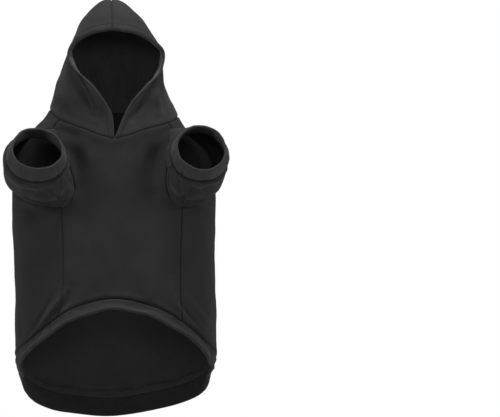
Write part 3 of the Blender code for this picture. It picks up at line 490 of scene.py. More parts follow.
def ripples(points, size, seed, squeeze=(1.0, 1.0, 1.0), waves=20):
    """Soft uneven waves of about this length, the same at a place whichever piece asks."""
    dice = np.random.default_rng(seed)
    ways = unit(dice.normal(size=(waves, 3))) * np.array(squeeze)
    rates = 2 * np.pi / size * dice.uniform(0.6, 1.5, waves)
    phases = dice.uniform(0.0, 2 * np.pi, waves)
    total = np.zeros(points.shape[:-1])
    for way, rate, phase in zip(ways, rates, phases):
        total += np.sin(points @ way * rate + phase)
    return total / math.sqrt(waves / 2.0)


def wrinkle(name, points):
    height, *shape = WRINKLES[name]
    return height * ripples(points, *shape)


def fold_heights(folds, points, width_unit, height_unit, fold_unit, side=-1.0):
    """Height of all folds at each point, from its distance to each fold's line as seen from the front."""
    total = np.zeros(points.shape[:-1])
    facing = np.clip(side * points[..., 1] / (FOLD_EDGE * CHEST_DEPTH), 0.0, 1.0)
    for fold in folds:
        xs = np.array(fold["xs"]) * width_unit
        zs = np.array(fold["zs"]) * height_unit
        nearest = np.full(points.shape[:-1], 1e9)
        place = np.zeros(points.shape[:-1])
        for k in range(2):
            leg_x = xs[k + 1] - xs[k]
            leg_z = zs[k + 1] - zs[k]
            along = (points[..., 0] - xs[k]) * leg_x + (points[..., 2] - zs[k]) * leg_z
            held = np.clip(along / (leg_x**2 + leg_z**2), 0.0, 1.0)
            away_x = points[..., 0] - xs[k] - held * leg_x
            away_z = points[..., 2] - zs[k] - held * leg_z
            distance = np.hypot(away_x, away_z)
            place = np.where(distance < nearest, (k + held) / 2.0, place)
            nearest = np.minimum(distance, nearest)
        fade = 0.35 + 0.65 * np.sin(math.pi * np.clip(place, 0.0, 1.0)) ** 2
        total += fold["rise"] * fold_unit * fade * hump(nearest, fold["width"] * fold_unit)
    return total * facing


def seam_relief(distance, along, depth=1.0):
    """The groove at a seam, the cloth standing up beside it and its small puckers."""
    groove = -GROOVE * depth * hump(distance, GROOVE_WIDTH)
    puff = SEAM_PUFF * depth * hump(distance - PUFF_PLACE, PUFF_WIDTH)
    uneven = 0.8 * np.sin(2 * np.pi * along / (PUCKER_STEP * 2.7) + 1.3)
    wave = np.sin(2 * np.pi * along / PUCKER_STEP + 1.7 * uneven) * (0.65 + 0.35 * uneven)
    return groove + puff + PUCKER * depth * wave * hump(distance, PUCKER_REACH)


# Body

def neck_height(angle):
    a = np.abs(angle)
    front = smooth(NECK_LINE, "angle", "front", a) * -NECK_FRONT_DIP
    side = smooth(NECK_LINE, "angle", "side", a) * NECK_SIDE_RISE
    back = smooth(NECK_LINE, "angle", "back", a) * NECK_BACK_RISE
    tilt = smooth(NECK_LINE, "angle", "side", a) * NECK_TILT * np.sin(np.radians(angle))
    return front + side + back - tilt


def hem_height(angle):
    a = np.abs(angle)
    front = smooth(HEM_LINE, "angle", "front", a) * FRONT_DROP
    side = smooth(HEM_LINE, "angle", "side", a) * SIDE_DROP
    back = smooth(HEM_LINE, "angle", "back", a) * BACK_DROP
    skew = smooth(HEM_LINE, "angle", "back", a) * HEM_SKEW * np.sin(np.radians(angle))
    sag = HEM_LEFT_SAG * np.exp(-(((angle - HEM_SAG_ANGLE) / HEM_SAG_SPREAD) ** 2))
    return skew - front - side - back - sag


def body_skin(angle, height):
    """The smooth body, before folds. Angle 0 is the belly, 90 the right side, -90 the left, 180 the back."""
    turn = np.radians(angle)
    level = np.asarray(height, dtype=float) / BACK_DROP
    grown_wide = smooth(BODY_SECTIONS, "height", "width", level)
    grown_deep = smooth(BODY_SECTIONS, "height", "depth", level)
    square = smooth(BODY_SECTIONS, "height", "square", level)
    half_width = (NECK_WIDTH + (CHEST_WIDTH - NECK_WIDTH) * grown_wide) / 2.0
    half_depth = (NECK_DEPTH + (CHEST_DEPTH - NECK_DEPTH) * grown_deep) / 2.0
    uneven = smooth(BODY_SECTIONS, "height", "uneven", level) * NECK_UNEVEN
    drift = smooth(BODY_SECTIONS, "height", "drift", level) * CHEST_WIDTH
    x = half_width * (np.sin(turn) + square * np.sin(3 * turn)) / (1 - square)
    x = x * (1.0 - uneven * np.clip(np.sin(turn), 0.0, None)) + drift * np.sin(turn) ** 2
    y = -half_depth * (np.cos(turn) - square * np.cos(3 * turn)) / (1 - square)
    return np.stack([x, y, height + 0.0 * turn], axis=-1)


def body_normal(angle, height):
    angle, height = np.broadcast_arrays(angle, height)
    across = body_skin(angle + 0.2, height) - body_skin(angle - 0.2, height)
    upward = body_skin(angle, height + 0.0005) - body_skin(angle, height - 0.0005)
    return unit(np.cross(across, upward))


def body_surface(angle, height):
    """Middle of the body's cloth with its folds and soft wrinkles, and the direction that faces out."""
    angle, height = np.broadcast_arrays(angle, height)
    points = body_skin(angle, height)
    outward = body_normal(angle, height)
    below_neck = neck_height(angle) - height
    above_hem = height - hem_height(angle)
    calm = ease(below_neck / NECK_CALM) * ease(above_hem / HEM_CALM)
    folds = BODY_FOLDS + BODY_FINE_FOLDS
    lift = fold_heights(folds, points, CHEST_WIDTH, BACK_DROP, BAND_WIDTH)
    lift = lift + fold_heights(BODY_REAR_FOLDS, points, CHEST_WIDTH, BACK_DROP, BAND_WIDTH, side=1.0)
    lift = lift + wrinkle("body", points) + wrinkle("body fine", points)
    lift = lift + hump(above_hem, HEM_WRINKLES) * wrinkle("body at hem", points)
    lift = lift + hump(below_neck, NECK_WRINKLES) * wrinkle("body at neck", points)
    return points + outward * (lift * calm)[..., None], outward


def angle_for(distance, angle, height):
    step = body_skin(angle + 0.5, height) - body_skin(angle - 0.5, height)
    return distance / np.linalg.norm(step, axis=-1)


def armhole(side, turn, edge):
    """Angle and height on the armhole's front or rear edge. Turn 0 is its top and 180 its bottom."""
    low_angle = LONG_SEAM[0][side]
    height = -ARMHOLE_DROP + ARMHOLE_HEIGHT / 2.0 * np.cos(np.radians(turn))
    share = (1.0 - np.cos(np.radians(turn))) / 2.0
    middle = ARMHOLE_TOP_ANGLE + (low_angle - ARMHOLE_TOP_ANGLE) * share
    sweep = -ARMHOLE_FRONT_SWEEP if edge == "front" else ARMHOLE_REAR_SWEEP
    return middle + sweep * np.sin(np.radians(turn)), height


def panel_edge(side, edge):
    """A panel's long edge from neck to hem: angles, heights, and whether each point is sewn to its mate."""
    top_height = armhole(side, 0.0, edge)[1]
    low_height = armhole(side, 180.0, edge)[1]
    sign = -1.0 if side == "left" else 1.0
    start = neck_height(sign * ARMHOLE_TOP_ANGLE)
    down = np.linspace(0.0, 1.0, SHOULDER_ROWS, endpoint=False) ** 1.5
    angles = [np.full(SHOULDER_ROWS, ARMHOLE_TOP_ANGLE)]
    heights = [start + (top_height - start) * down]
    hole_angles, hole_heights = armhole(side, np.linspace(0.0, 180.0, ARMHOLE_ROWS + 1), edge)
    angles.append(hole_angles)
    heights.append(hole_heights)
    end = float(hem_height(sign * LONG_SEAM[-1][side]))
    down = 1.0 - (1.0 - np.linspace(0.0, 1.0, FLANK_ROWS + 1)[1:]) ** 1.5
    angles.append(smooth(LONG_SEAM, "down", side, down))
    heights.append(low_height + (end - low_height) * down)
    angles = np.concatenate(angles)
    rows = np.arange(len(angles))
    sewn = (rows <= SHOULDER_ROWS) | (rows >= SHOULDER_ROWS + ARMHOLE_ROWS)
    return angles, np.concatenate(heights), sewn


def level_share(angle, height):
    return (neck_height(angle) - height) / (neck_height(angle) - hem_height(angle))


def body_panel(edge):
    """Angles and heights of a body panel's fine grid, between its two long edges."""
    sign = -1.0 if edge == "front" else 1.0
    ends = {}
    for side in ("left", "right"):
        angles, heights, sewn = panel_edge(side, edge)
        gap = angle_for(SEAM_GAP / 2.0, angles, heights)
        hand = -1.0 if side == "left" else 1.0
        ends[side] = (angles + sign * np.where(sewn, gap, 0.0), level_share(hand * angles, heights))
    left_angles, left_shares = ends["left"]
    right_angles, right_shares = ends["right"]
    if edge == "front":
        across = crowded(CHEST_COLUMNS, 0.80)[None, :]
        start, finish = -left_angles[:, None], right_angles[:, None]
        start_shares, finish_shares = left_shares[:, None], right_shares[:, None]
    else:
        across = crowded(BACK_COLUMNS, 0.70)[None, :]
        start, finish = right_angles[:, None], 360.0 - left_angles[:, None]
        start_shares, finish_shares = right_shares[:, None], left_shares[:, None]
    angles = start + (finish - start) * across
    signed = np.where(angles > 180.0, angles - 360.0, angles)
    shares = start_shares + (finish_shares - start_shares) * across
    rows = np.linspace(0.0, 1.0, len(left_angles))
    evenly = (0.25 * rows + 0.75 * crowded(len(rows) - 1, 0.75))[:, None]
    inside = 1.0 - np.abs(2.0 * across - 1.0) ** 4
    shares = shares + (evenly - shares) * inside
    heights = neck_height(signed) + (hem_height(signed) - neck_height(signed)) * shares
    return signed, heights


def band_direction(angle, lean_share):
    a = np.abs(angle)
    lean = np.radians(smooth(BAND_FLARE, "angle", "lean", a) * lean_share)[..., None]
    forward = smooth(BAND_FLARE, "angle", "forward", a)[..., None]
    outward = body_normal(angle, hem_height(angle)) * np.array([1.0, 1.0, 0.0])
    out = unit(forward * np.array([0.0, -1.0, 0.0]) + (1.0 - forward) * unit(outward))
    return np.cos(lean) * np.array([0.0, 0.0, -1.0]) + np.sin(lean) * out


def band_normal(angle, lean_share):
    after = body_skin(angle + 0.5, hem_height(angle + 0.5))
    before = body_skin(angle - 0.5, hem_height(angle - 0.5))
    return unit(np.cross(band_direction(angle, lean_share), after - before))


def hem_mitre(angle):
    """The direction across the cloth that body and band share at their seam."""
    return unit(body_normal(angle, hem_height(angle)) + band_normal(angle, BAND_ROWS[0]["lean"]))


def body_sheet(edge):
    """A body panel's cloth: the points of its outer face, its inner face and its middle."""
    angles, heights = body_panel(edge)
    points, outward = body_surface(angles, heights)
    from_neck = run_lengths(points, 0)
    from_hem = from_neck[-1:] - from_neck
    from_start = run_lengths(points, 1)
    from_side = np.minimum(from_start, from_start[:, -1:] - from_start)
    neck_way = neck_mitre(angles[0])[None]
    hem_way = hem_mitre(angles[-1])[None]
    facing = unit(neck_way + (outward - neck_way) * ease(from_neck / BODY_MITRE)[..., None])
    facing = unit(hem_way + (facing - hem_way) * ease(from_hem / BODY_MITRE)[..., None])
    points[0] -= np.array([0.0, 0.0, SEAM_GAP / 2.0])
    points[-1] += np.array([0.0, 0.0, SEAM_GAP / 2.0])
    arc = np.radians(angles) * CHEST_WIDTH / 2.0
    relief = seam_relief(from_side, points[..., 2])
    relief = relief + seam_relief(from_neck, arc, 0.9)
    relief = relief + seam_relief(from_hem, arc, 1.15)
    overhang = HEM_OVERHANG * hump(from_hem - HEM_OVERHANG_PLACE, HEM_OVERHANG_WIDTH)
    outer = points + facing * (CLOTH / 2.0 + relief + overhang)[..., None]
    inner = points - facing * (CLOTH / 2.0 - 0.15 * relief)[..., None]
    return outer, inner, points


# Hood

def hood_sizes(height, side):
    """Half width, half depth and middle of the hood's level section at a height."""
    level = np.asarray(height, dtype=float) / HOOD_HEIGHT
    half_width = smooth(HOOD_SECTIONS, "height", side, level) * HOOD_WIDTH
    half_depth = smooth(HOOD_SECTIONS, "height", "depth", level) * HOOD_DEPTH
    return half_width, half_depth, smooth(HOOD_SECTIONS, "height", "shift", level) * HOOD_DEPTH


def hood_closing(height):
    start = HOOD_ROUND_START * HOOD_HEIGHT
    rise = np.clip((np.asarray(height) - start) / (HOOD_HEIGHT - start), 0.0, None)
    return rise**HOOD_CROWN_POWER


def hood_value(points, side):
    """Less than one inside the hood's form and more outside; the hood is where it is one."""
    half_width, half_depth, middle = hood_sizes(points[..., 2], side)
    wide = (np.abs(points[..., 0]) / half_width) ** HOOD_SECTION_POWER
    deep = (np.abs(points[..., 1] - middle) / half_depth) ** HOOD_SECTION_POWER
    return wide + deep + hood_closing(points[..., 2])


def hood_project(points, side):
    """Moves points along the line from the hood's heart until they lie on its form."""
    heart = np.array([0.0, 0.0, HOOD_HEART * HOOD_HEIGHT])
    ray = points - heart
    low = np.full(points.shape[:-1], 0.2)
    high = np.full(points.shape[:-1], 4.0)
    for _ in range(34):
        half = (low + high) / 2.0
        inside = hood_value(heart + ray * half[..., None], side) < 1.0
        low = np.where(inside, half, low)
        high = np.where(inside, high, half)
    return heart + ray * ((low + high) / 2.0)[..., None]


def hood_normal(points, side):
    step = 0.0004
    parts = []
    for axis in range(3):
        shift = np.zeros(3)
        shift[axis] = step
        parts.append(hood_value(points + shift, side) - hood_value(points - shift, side))
    return unit(np.stack(parts, axis=-1))


def hood_front(side_place, height, side):
    """The point of the hood's front at a sideways place and height."""
    half_width, half_depth, middle = hood_sizes(height, side)
    left_over = 1.0 - hood_closing(height) - (np.abs(side_place) / half_width) ** HOOD_SECTION_POWER
    y = middle - half_depth * np.clip(left_over, 0.0, None) ** (1.0 / HOOD_SECTION_POWER)
    return np.stack([side_place, y, height], axis=-1)


def neck_point(angle):
    return body_skin(angle, neck_height(angle))


def neck_mitre(angle):
    """The direction across the cloth that hood and body share at the neck seam."""
    flip = np.array([-1.0, 1.0, 1.0])
    place = neck_point(angle)
    right = hood_normal(place, "right")
    left = hood_normal(place * flip, "left") * flip
    hood = np.where((angle >= 0.0)[:, None], right, left)
    return unit(hood + body_normal(angle, neck_height(angle)))


def hood_seam_point(turn):
    """A point of the middle seam: turn 0 is the forehead, 1 the back of the neck, over the crown."""
    forehead = hood_front(np.array(0.0), np.array(FACE_EDGE[-1]["height"] * HOOD_HEIGHT), "right")
    nape = neck_point(np.array(180.0))
    heart = np.array([0.0, 0.0, HOOD_HEART * HOOD_HEIGHT])
    first = math.atan2(forehead[1], forehead[2] - heart[2])
    last = math.atan2(nape[1], nape[2] - heart[2])
    swing = first + (last - first) * np.asarray(turn, dtype=float)
    ray = np.stack([0.0 * swing, np.sin(swing), np.cos(swing)], axis=-1) * HOOD_HEIGHT / 2.0
    return hood_project(heart + ray, "right")


def corner_turn():
    turns = np.linspace(0.35, 1.0, 200)
    heights = hood_seam_point(turns)[:, 2]
    return float(turns[np.argmin(np.abs(heights - HOOD_CORNER * HOOD_HEIGHT))])


def hood_patch(side, u, climb):
    """One half of the hood: u runs from the face edge to the back, climb from the neck to the top seam."""
    corner = corner_turn()
    edge_x = smooth(FACE_EDGE, "along", side, climb) * HOOD_WIDTH
    edge_z = smooth(FACE_EDGE, "along", "height", climb) * HOOD_HEIGHT
    face = hood_front(edge_x, edge_z, side)
    spine = hood_seam_point(1.0 + (corner - 1.0) * climb)
    v = climb[:, None] + 0.0 * u
    sign = -1.0 if side == "left" else 1.0
    bottom = neck_point(180.0 * sign * u) * np.array([sign, 1.0, 1.0])
    top = hood_seam_point(corner * u)
    uu = u[..., None]
    vv = v[..., None]
    corners = (1 - uu) * (1 - vv) * face[0] + uu * (1 - vv) * spine[0]
    corners = corners + (1 - uu) * vv * face[-1] + uu * vv * spine[-1]
    patch = (1 - uu) * face[:, None] + uu * spine[:, None] + (1 - vv) * bottom + vv * top - corners
    patch[..., 0] = np.abs(patch[..., 0])
    points = hood_project(patch, side)
    miss = bottom - hood_project(bottom, side)
    settle = np.clip(1.0 - v / 0.35, 0.0, 1.0) ** 2
    return points + miss * settle[..., None]


def hood_places():
    """Distances of the hem's columns from the folded edge: round the fold, then past the stitch line."""
    lip = HOOD_HEM_CLOTH / 2.0
    fold = lip * (1.0 - np.cos(np.linspace(0.0, np.pi / 2.0, 7)))
    rest = np.linspace(lip, HOOD_HEM * 1.15, HOOD_HEM_COLUMNS - 6 + 1)[1:]
    return np.concatenate([fold, rest])


def hood_half(side):
    """One hood half's cloth: its outer face, inner face and middle."""
    sign = -1.0 if side == "left" else 1.0
    climb = 0.25 * np.linspace(0.0, 1.0, HOOD_ROWS + 1) + 0.75 * crowded(HOOD_ROWS, 0.7)
    even = np.broadcast_to(np.linspace(0.0, 1.0, HOOD_SAMPLES)[None, :], (len(climb), HOOD_SAMPLES))
    lengths = run_lengths(hood_patch(side, even, climb), 1)
    places = hood_places()
    onward = crowded(HOOD_REST_COLUMNS, 0.6)[1:]
    u = np.zeros((len(climb), len(places) + len(onward)))
    for i in range(len(climb)):
        whole = lengths[i, -1]
        wanted = np.concatenate([places, places[-1] + (whole - places[-1]) * onward])
        u[i] = np.interp(wanted, lengths[i], even[i])
    points = hood_patch(side, u, climb)
    outward = hood_normal(points, side)
    from_edge = run_lengths(points, 1)
    flare = smooth(FACE_EDGE, "along", "flare", climb) * HOOD_WIDTH
    points[..., 0] += flare[:, None] * hump(from_edge, FLARE_REACH * HOOD_HEM)
    flip = np.array([sign, 1.0, 1.0])
    mirrored = points * flip
    from_neck = run_lengths(points, 0)
    from_middle = points[..., 0].copy()
    v = climb[:, None] + 0.0 * u
    on_seam = (u >= 1.0 - 1e-9) | (v >= 1.0 - 1e-9)
    calm = ease(v / HOOD_CALM)
    lift = fold_heights(HOOD_FOLDS + HOOD_FINE_FOLDS, mirrored, HOOD_WIDTH, HOOD_HEIGHT, HOOD_HEM)
    lift = lift + fold_heights(HOOD_REAR_FOLDS, mirrored, HOOD_WIDTH, HOOD_HEIGHT, HOOD_HEM, side=1.0)
    soft = wrinkle("hood", mirrored) + wrinkle("hood fine", mirrored)
    low = hump(from_neck, HOOD_NECK_WRINKLES) * wrinkle("hood at neck", mirrored)
    rolled = smooth(FACE_EDGE_ROLL, "along", side, climb)[:, None] * HOOD_HEM
    roll = hump(from_edge - ROLL_PLACE * HOOD_HEM, ROLL_WIDTH * HOOD_HEM)
    valley = VALLEY_DEPTH * hump(from_edge - VALLEY_PLACE * HOOD_HEM, VALLEY_WIDTH * HOOD_HEM)
    rolled = rolled * (roll - valley)
    lift = (lift + (soft + low) * ease(from_edge / HOOD_EDGE_CALM)) * calm + rolled
    points = points + outward * lift[..., None]
    outward[..., 0] = np.where(on_seam, 0.0, outward[..., 0])
    outward = unit(outward)
    points[..., 0] = np.where(on_seam, 0.0, points[..., 0])
    points[..., 0] = np.maximum(points[..., 0], 0.0) + SEAM_GAP / 2.0
    mitre = neck_mitre(180.0 * sign * u[0]) * flip
    mitre[(0, -1), 0] = 0.0
    outward = unit(mitre[None] + (outward - mitre[None]) * ease(from_neck / BODY_MITRE)[..., None])
    points[0] = points[0] + np.array([0.0, 0.0, SEAM_GAP / 2.0])
    inward_lip = HOOD_HEM_CLOTH / 2.0
    round_off = np.sqrt(np.clip(1.0 - (1.0 - np.clip(from_edge / inward_lip, 0.0, 1.0)) ** 2, 0.0, 1.0))
    past = ease((from_edge - HOOD_HEM * 0.96) / (HOOD_HEM * 0.10))
    stitched = hump(from_edge - HOOD_HEM * STITCH_PLACE, STITCH_WIDTH)
    hem_puff = HEM_PUFF * ease(from_edge / 0.003) * (1.0 - ease((from_edge - 0.006) / 0.003))
    outer = CLOTH / 2.0 + hem_puff * (1.0 - past) - STITCH_DENT * stitched
    outer = outer + STITCH_BUMP * stitched * np.sin(2 * np.pi * from_neck / STITCH_BUMP_STEP)
    spread = (HOOD_HEM_CLOTH - CLOTH) * (1.0 - past)
    inner = CLOTH / 2.0 + spread - STITCH_INNER_DENT * stitched
    centre = -inward_lip + CLOTH / 2.0
    outer = centre * (1.0 - round_off) + outer * round_off
    inner = -centre * (1.0 - round_off) + inner * round_off
    relief = seam_relief(from_middle, from_neck + from_edge, 1.1) * ease((from_edge + from_neck) / 0.004)
    relief = relief + seam_relief(from_neck, from_edge, 0.9)
    faces_out = outward * (outer + relief * round_off)[..., None]
    faces_in = outward * (inner - 0.15 * relief)[..., None]
    lean = HOOD_LEAN * np.clip(points[..., 2:3] / HOOD_HEIGHT, 0.0, None) ** 1.5 * np.array([1.0, 0.0, 0.0])
    return [(points + way) * flip + lean for way in (faces_out, -faces_in, 0.0 * faces_in)]


# Sleeves and cuffs

def sleeve_axes(side):
    """The cuff: middle of its mouth, the way it points, and its sideways and upward directions."""
    look = SLEEVES[side]
    sign = -1.0 if side == "left" else 1.0
    turn = math.radians(look["turn"])
    lift = math.radians(look["lift"])
    level = math.cos(lift)
    point = np.array([sign * math.sin(turn) * level, -math.cos(turn) * level, math.sin(lift)])
    sideways = sign * look["side_share"] * CHEST_WIDTH / 2.0
    mouth = np.array([sideways, -SLEEVE_REACH, -SLEEVE_DROP * look["drop_share"]])
    inward = unit(np.cross(np.array([0.0, 0.0, 1.0]), point)) * sign
    if inward[0] * sign > 0:
        inward = -inward
    upward = unit(np.cross(inward, point))
    if upward[2] < 0:
        upward = -upward
    return mouth, point, inward, upward


def ring_turns():
    down = np.arange(RING_STEPS) * 180.0 / RING_STEPS
    return np.concatenate([down, down + 180.0])


def armhole_loop(side):
    """The armhole's edge: its points, the way into the hole, the body's outward way, and the turns."""
    sign = -1.0 if side == "left" else 1.0
    turns = ring_turns()
    front = turns <= 180.0
    place = np.where(front, turns, 360.0 - turns)
    front_angle, height = armhole(side, place, "front")
    rear_angle = armhole(side, place, "rear")[0]
    angle = np.where(front, front_angle, rear_angle)
    points = body_surface(sign * angle, height)[0]
    outward = body_normal(sign * angle, height)
    tangent = np.roll(points, -1, axis=0) - np.roll(points, 1, axis=0)
    into = unit(np.cross(outward, unit(tangent)))
    heart = points.mean(axis=0)
    wrong = np.sum(into * (heart - points), axis=-1) < 0
    into = np.where(wrong[:, None], -into, into)
    return points, into, outward, turns


def cuff_ring(side, turns, back, width):
    """A round of points about the cuff's axis, this far back from its mouth."""
    mouth, point, inward, upward = sleeve_axes(side)
    radians = np.radians(turns)[:, None]
    spoke = np.cos(radians) * upward + np.sin(radians) * inward
    uneven = 1.0 + 0.012 * np.sin(2 * radians + 0.6) + 0.007 * np.sin(3 * radians + 2.0)
    radius = width * SLEEVES[side]["size_share"] / 2.0
    return mouth - point * back + spoke * radius * uneven, spoke


def turn_gap(turns, place):
    return np.abs((turns - place + 180.0) % 360.0 - 180.0)


def sleeve(side):
    """The sleeve from its armhole to the cuff seam: outer face, inner face and middle."""
    points, into, outward, turns = armhole_loop(side)
    base = points + into * (SEAM_GAP + CLOTH / 2.0)
    seam_ring, spoke = cuff_ring(side, turns, CUFF_LENGTH + SEAM_GAP, CUFF_SEAM_WIDTH - DOUBLED_CLOTH)
    point = sleeve_axes(side)[1]
    start = base + outward * (CLOTH * 0.3)
    span = np.linalg.norm(seam_ring - start, axis=-1)[:, None]
    leave = outward * SLEEVE_LEAVE * span
    arrive = point * span
    low_outside = np.clip(np.cos(np.radians(turns - SLACK_TURN)), 0.0, None)[:, None] ** 2
    held_in = 1.0 - SLEEVES[side]["slack"] * low_outside
    rows = [base - outward * (CLOTH * 0.45)]
    t_rows = np.concatenate([[0.0], crowded(SLEEVE_ROWS, 0.6)])
    for t in t_rows[1:]:
        run = (2 * t**3 - 3 * t**2 + 1) * start + (t**3 - 2 * t**2 + t) * leave
        run = run + (3 * t**2 - 2 * t**3) * seam_ring + (t**3 - t**2) * arrive
        full = SLEEVE_FULLNESS * SLEEVE_BULGE * t**1.8 * (1.0 - t**8)
        rows.append(run + spoke * full * held_in)
    grid = np.stack(rows)
    facing = grid_normals(grid)
    flipped = np.sum(facing[-2] * spoke) < 0
    facing = -facing if flipped else facing
    facing[0] = -into
    from_body = run_lengths(grid, 0)
    from_cuff = from_body[-1:] - from_body
    facing = unit(-into[None] + (facing + into[None]) * ease(from_body / SLEEVE_BODY_MITRE)[..., None])
    facing = unit(spoke[None] + (facing - spoke[None]) * ease(from_cuff / BODY_MITRE)[..., None])
    t = t_rows[:, None]
    around = turns[None, :]
    arc = np.radians(around) * CUFF_SEAM_WIDTH / 2.0
    seam_turn = 180.0 - SLEEVE_SEAM_TURN * ease(t)
    seam_gap = np.radians(turn_gap(around, seam_turn)) * CUFF_SEAM_WIDTH / 2.0
    calm = ease(from_body / SLEEVE_BODY_CALM) * ease(from_cuff / SLEEVE_CUFF_CALM)
    under = hump(turn_gap(around, SLEEVE_UNDER_TURN), SLEEVE_UNDER_SPREAD)
    sag_waves = t * SLEEVE_SAG_WAVES + 0.15 * np.sin(np.radians(around * 2))
    lift = SLEEVE_SAG * np.sin(2 * np.pi * sag_waves) * under
    lift = lift + hump(from_cuff, SLEEVE_GATHER) * wrinkle("sleeve gather", grid)
    for crease in SLEEVE_CREASES:
        away = turn_gap(around, crease["turn"] + crease["drift"] * t)
        lift = lift - crease["depth"] * hump(away, crease["width"]) * np.sin(np.pi * t)
    lift = lift + wrinkle("sleeve", grid) + wrinkle("sleeve fine", grid)
    grid = grid + facing * (lift * calm)[..., None]
    relief = seam_relief(from_cuff, arc * 0.9, 1.1) + seam_relief(seam_gap, from_body, 0.9) * calm
    relief = relief + 0.4 * seam_relief(from_body, arc)
    outer = grid + facing * (CLOTH / 2.0 + relief)[..., None]
    inner = grid - facing * (CLOTH / 2.0 - 0.1 * relief)[..., None]
    return outer, inner, grid


def grid_normals(grid):
    round_step = np.roll(grid, -1, axis=1) - np.roll(grid, 1, axis=1)
    climb_step = np.gradient(grid, axis=0)
    return unit(np.cross(round_step, climb_step))


def fold_profile(from_seam, from_rim, half):
    """Half the thickness of doubled cloth: pinched at its seam and round at its folded rim."""
    near = np.clip(from_rim / half, 0.0, 1.0)
    rim = np.sqrt(np.clip(1.0 - (1.0 - near) ** 2, 0.0, 1.0))
    return half * rim * (1.0 - 0.30 * hump(from_seam, 0.0022))


def folded_rows(length, half, count):
    """Places along doubled cloth from its seam to its folded rim, crowded at both."""
    fold = half * (1.0 - np.cos(np.linspace(np.pi / 2.0, 0.0, 8)))
    body = crowded(count - 7, 0.55)[:-1] * (length - half)
    return np.concatenate([body, length - fold]) / length


def cuff(side):
    turns = ring_turns()
    half = DOUBLED_CLOTH / 2.0
    along = folded_rows(CUFF_LENGTH, half, CUFF_ROWS_FINE)
    rows = []
    for t in along:
        taper = float(smooth(CUFF_ROWS, "along", "taper", t))
        width = CUFF_SEAM_WIDTH + (CUFF_MOUTH_WIDTH - CUFF_SEAM_WIDTH) * taper - DOUBLED_CLOTH
        ring, spoke = cuff_ring(side, turns, CUFF_LENGTH * (1.0 - t), width)
        rows.append(ring + spoke * CUFF_BULGE * math.sin(math.pi * t))
    grid = np.stack(rows)
    from_seam = (along * CUFF_LENGTH)[:, None] + 0.0 * grid[..., 0]
    from_rim = CUFF_LENGTH - from_seam
    arc = np.radians(turns)[None, :] * CUFF_SEAM_WIDTH / 2.0
    calm = ease(from_seam / 0.004)
    lift = (wrinkle("cuff", grid) + wrinkle("cuff fine", grid)) * calm
    grid = grid + spoke[None] * lift[..., None]
    thick = fold_profile(from_seam, from_rim, half)
    join = np.radians(turn_gap(turns, CUFF_JOIN_TURN))[None, :] * CUFF_SEAM_WIDTH / 2.0
    relief = seam_relief(from_seam, arc * 0.9, 1.0) + seam_relief(join, from_seam, 0.8)
    relief = relief * ease(from_rim / RIM_CALM)
    outer = grid + spoke[None] * (thick + relief)[..., None]
    inner = grid - spoke[None] * thick[..., None]
    return outer, inner, grid


# Hem band

def hem_band():
    angle = np.linspace(-180.0, 180.0, BAND_COLUMNS, endpoint=False)
    half = DOUBLED_CLOTH / 2.0
    across = folded_rows(BAND_WIDTH, half, BAND_ROWS_FINE)
    place = body_surface(angle, hem_height(angle))[0]
    place = place + band_direction(angle, BAND_ROWS[0]["lean"]) * SEAM_GAP / 2.0
    rows = []
    facings = []
    last = 0.0
    for t in across:
        lean = float(smooth(BAND_ROWS, "across", "lean", (t + last) / 2.0))
        place = place + band_direction(angle, lean) * (t - last) * BAND_WIDTH
        last = t
        rows.append(place)
        facings.append(band_normal(angle, float(smooth(BAND_ROWS, "across", "lean", t))))
    grid = np.stack(rows)
    facing = np.stack(facings)
    from_seam = (across * BAND_WIDTH)[:, None] + 0.0 * grid[..., 0]
    from_rim = BAND_WIDTH - from_seam
    mitre = hem_mitre(angle)[None]
    facing = unit(mitre + (facing - mitre) * ease(from_seam / 0.004)[..., None])
    arc = (np.radians(angle) * CHEST_WIDTH / 2.0)[None, :]
    calm = ease(from_seam / 0.005)
    gather = hump(from_seam - 0.004, 0.006) * wrinkle("band gather", grid)
    lift = (wrinkle("band", grid) + wrinkle("band fine", grid) + gather) * calm
    grid = grid + facing * lift[..., None]
    thick = fold_profile(from_seam, from_rim, half)
    join = np.radians(turn_gap(angle, BAND_JOIN_ANGLE))[None, :] * CHEST_WIDTH / 2.0
    relief = seam_relief(from_seam, arc, 1.15) + seam_relief(join, from_seam, 0.7)
    relief = relief * ease(from_rim / RIM_CALM)
    outer = grid + facing * (thick + relief)[..., None]
    inner = grid - facing * thick[..., None]
    return outer, inner, grid


# Meshes

def mesh_piece(name, points, faces, kinds, materials, lines=None):
    data = bpy.data.meshes.new(name)
    data.from_pydata(points.tolist(), [], faces)
    for material in materials:
        data.materials.append(material)
    data.polygons.foreach_set("material_index", np.array(kinds, dtype=np.int32))
    if lines is not None:
        layer = data.uv_layers.new(name="cloth")
        corners = np.zeros(len(data.loops), dtype=np.int32)
        data.loops.foreach_get("vertex_index", corners)
        layer.data.foreach_set("uv", lines[corners].astype(np.float32).ravel())
    data.update()
    data.shade_smooth()
    data.set_sharp_from_angle(angle=math.radians(SHARP_ANGLE))
    piece = bpy.data.objects.new(name, data)
    bpy.context.scene.collection.objects.link(piece)
    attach(piece, "root")
    return piece


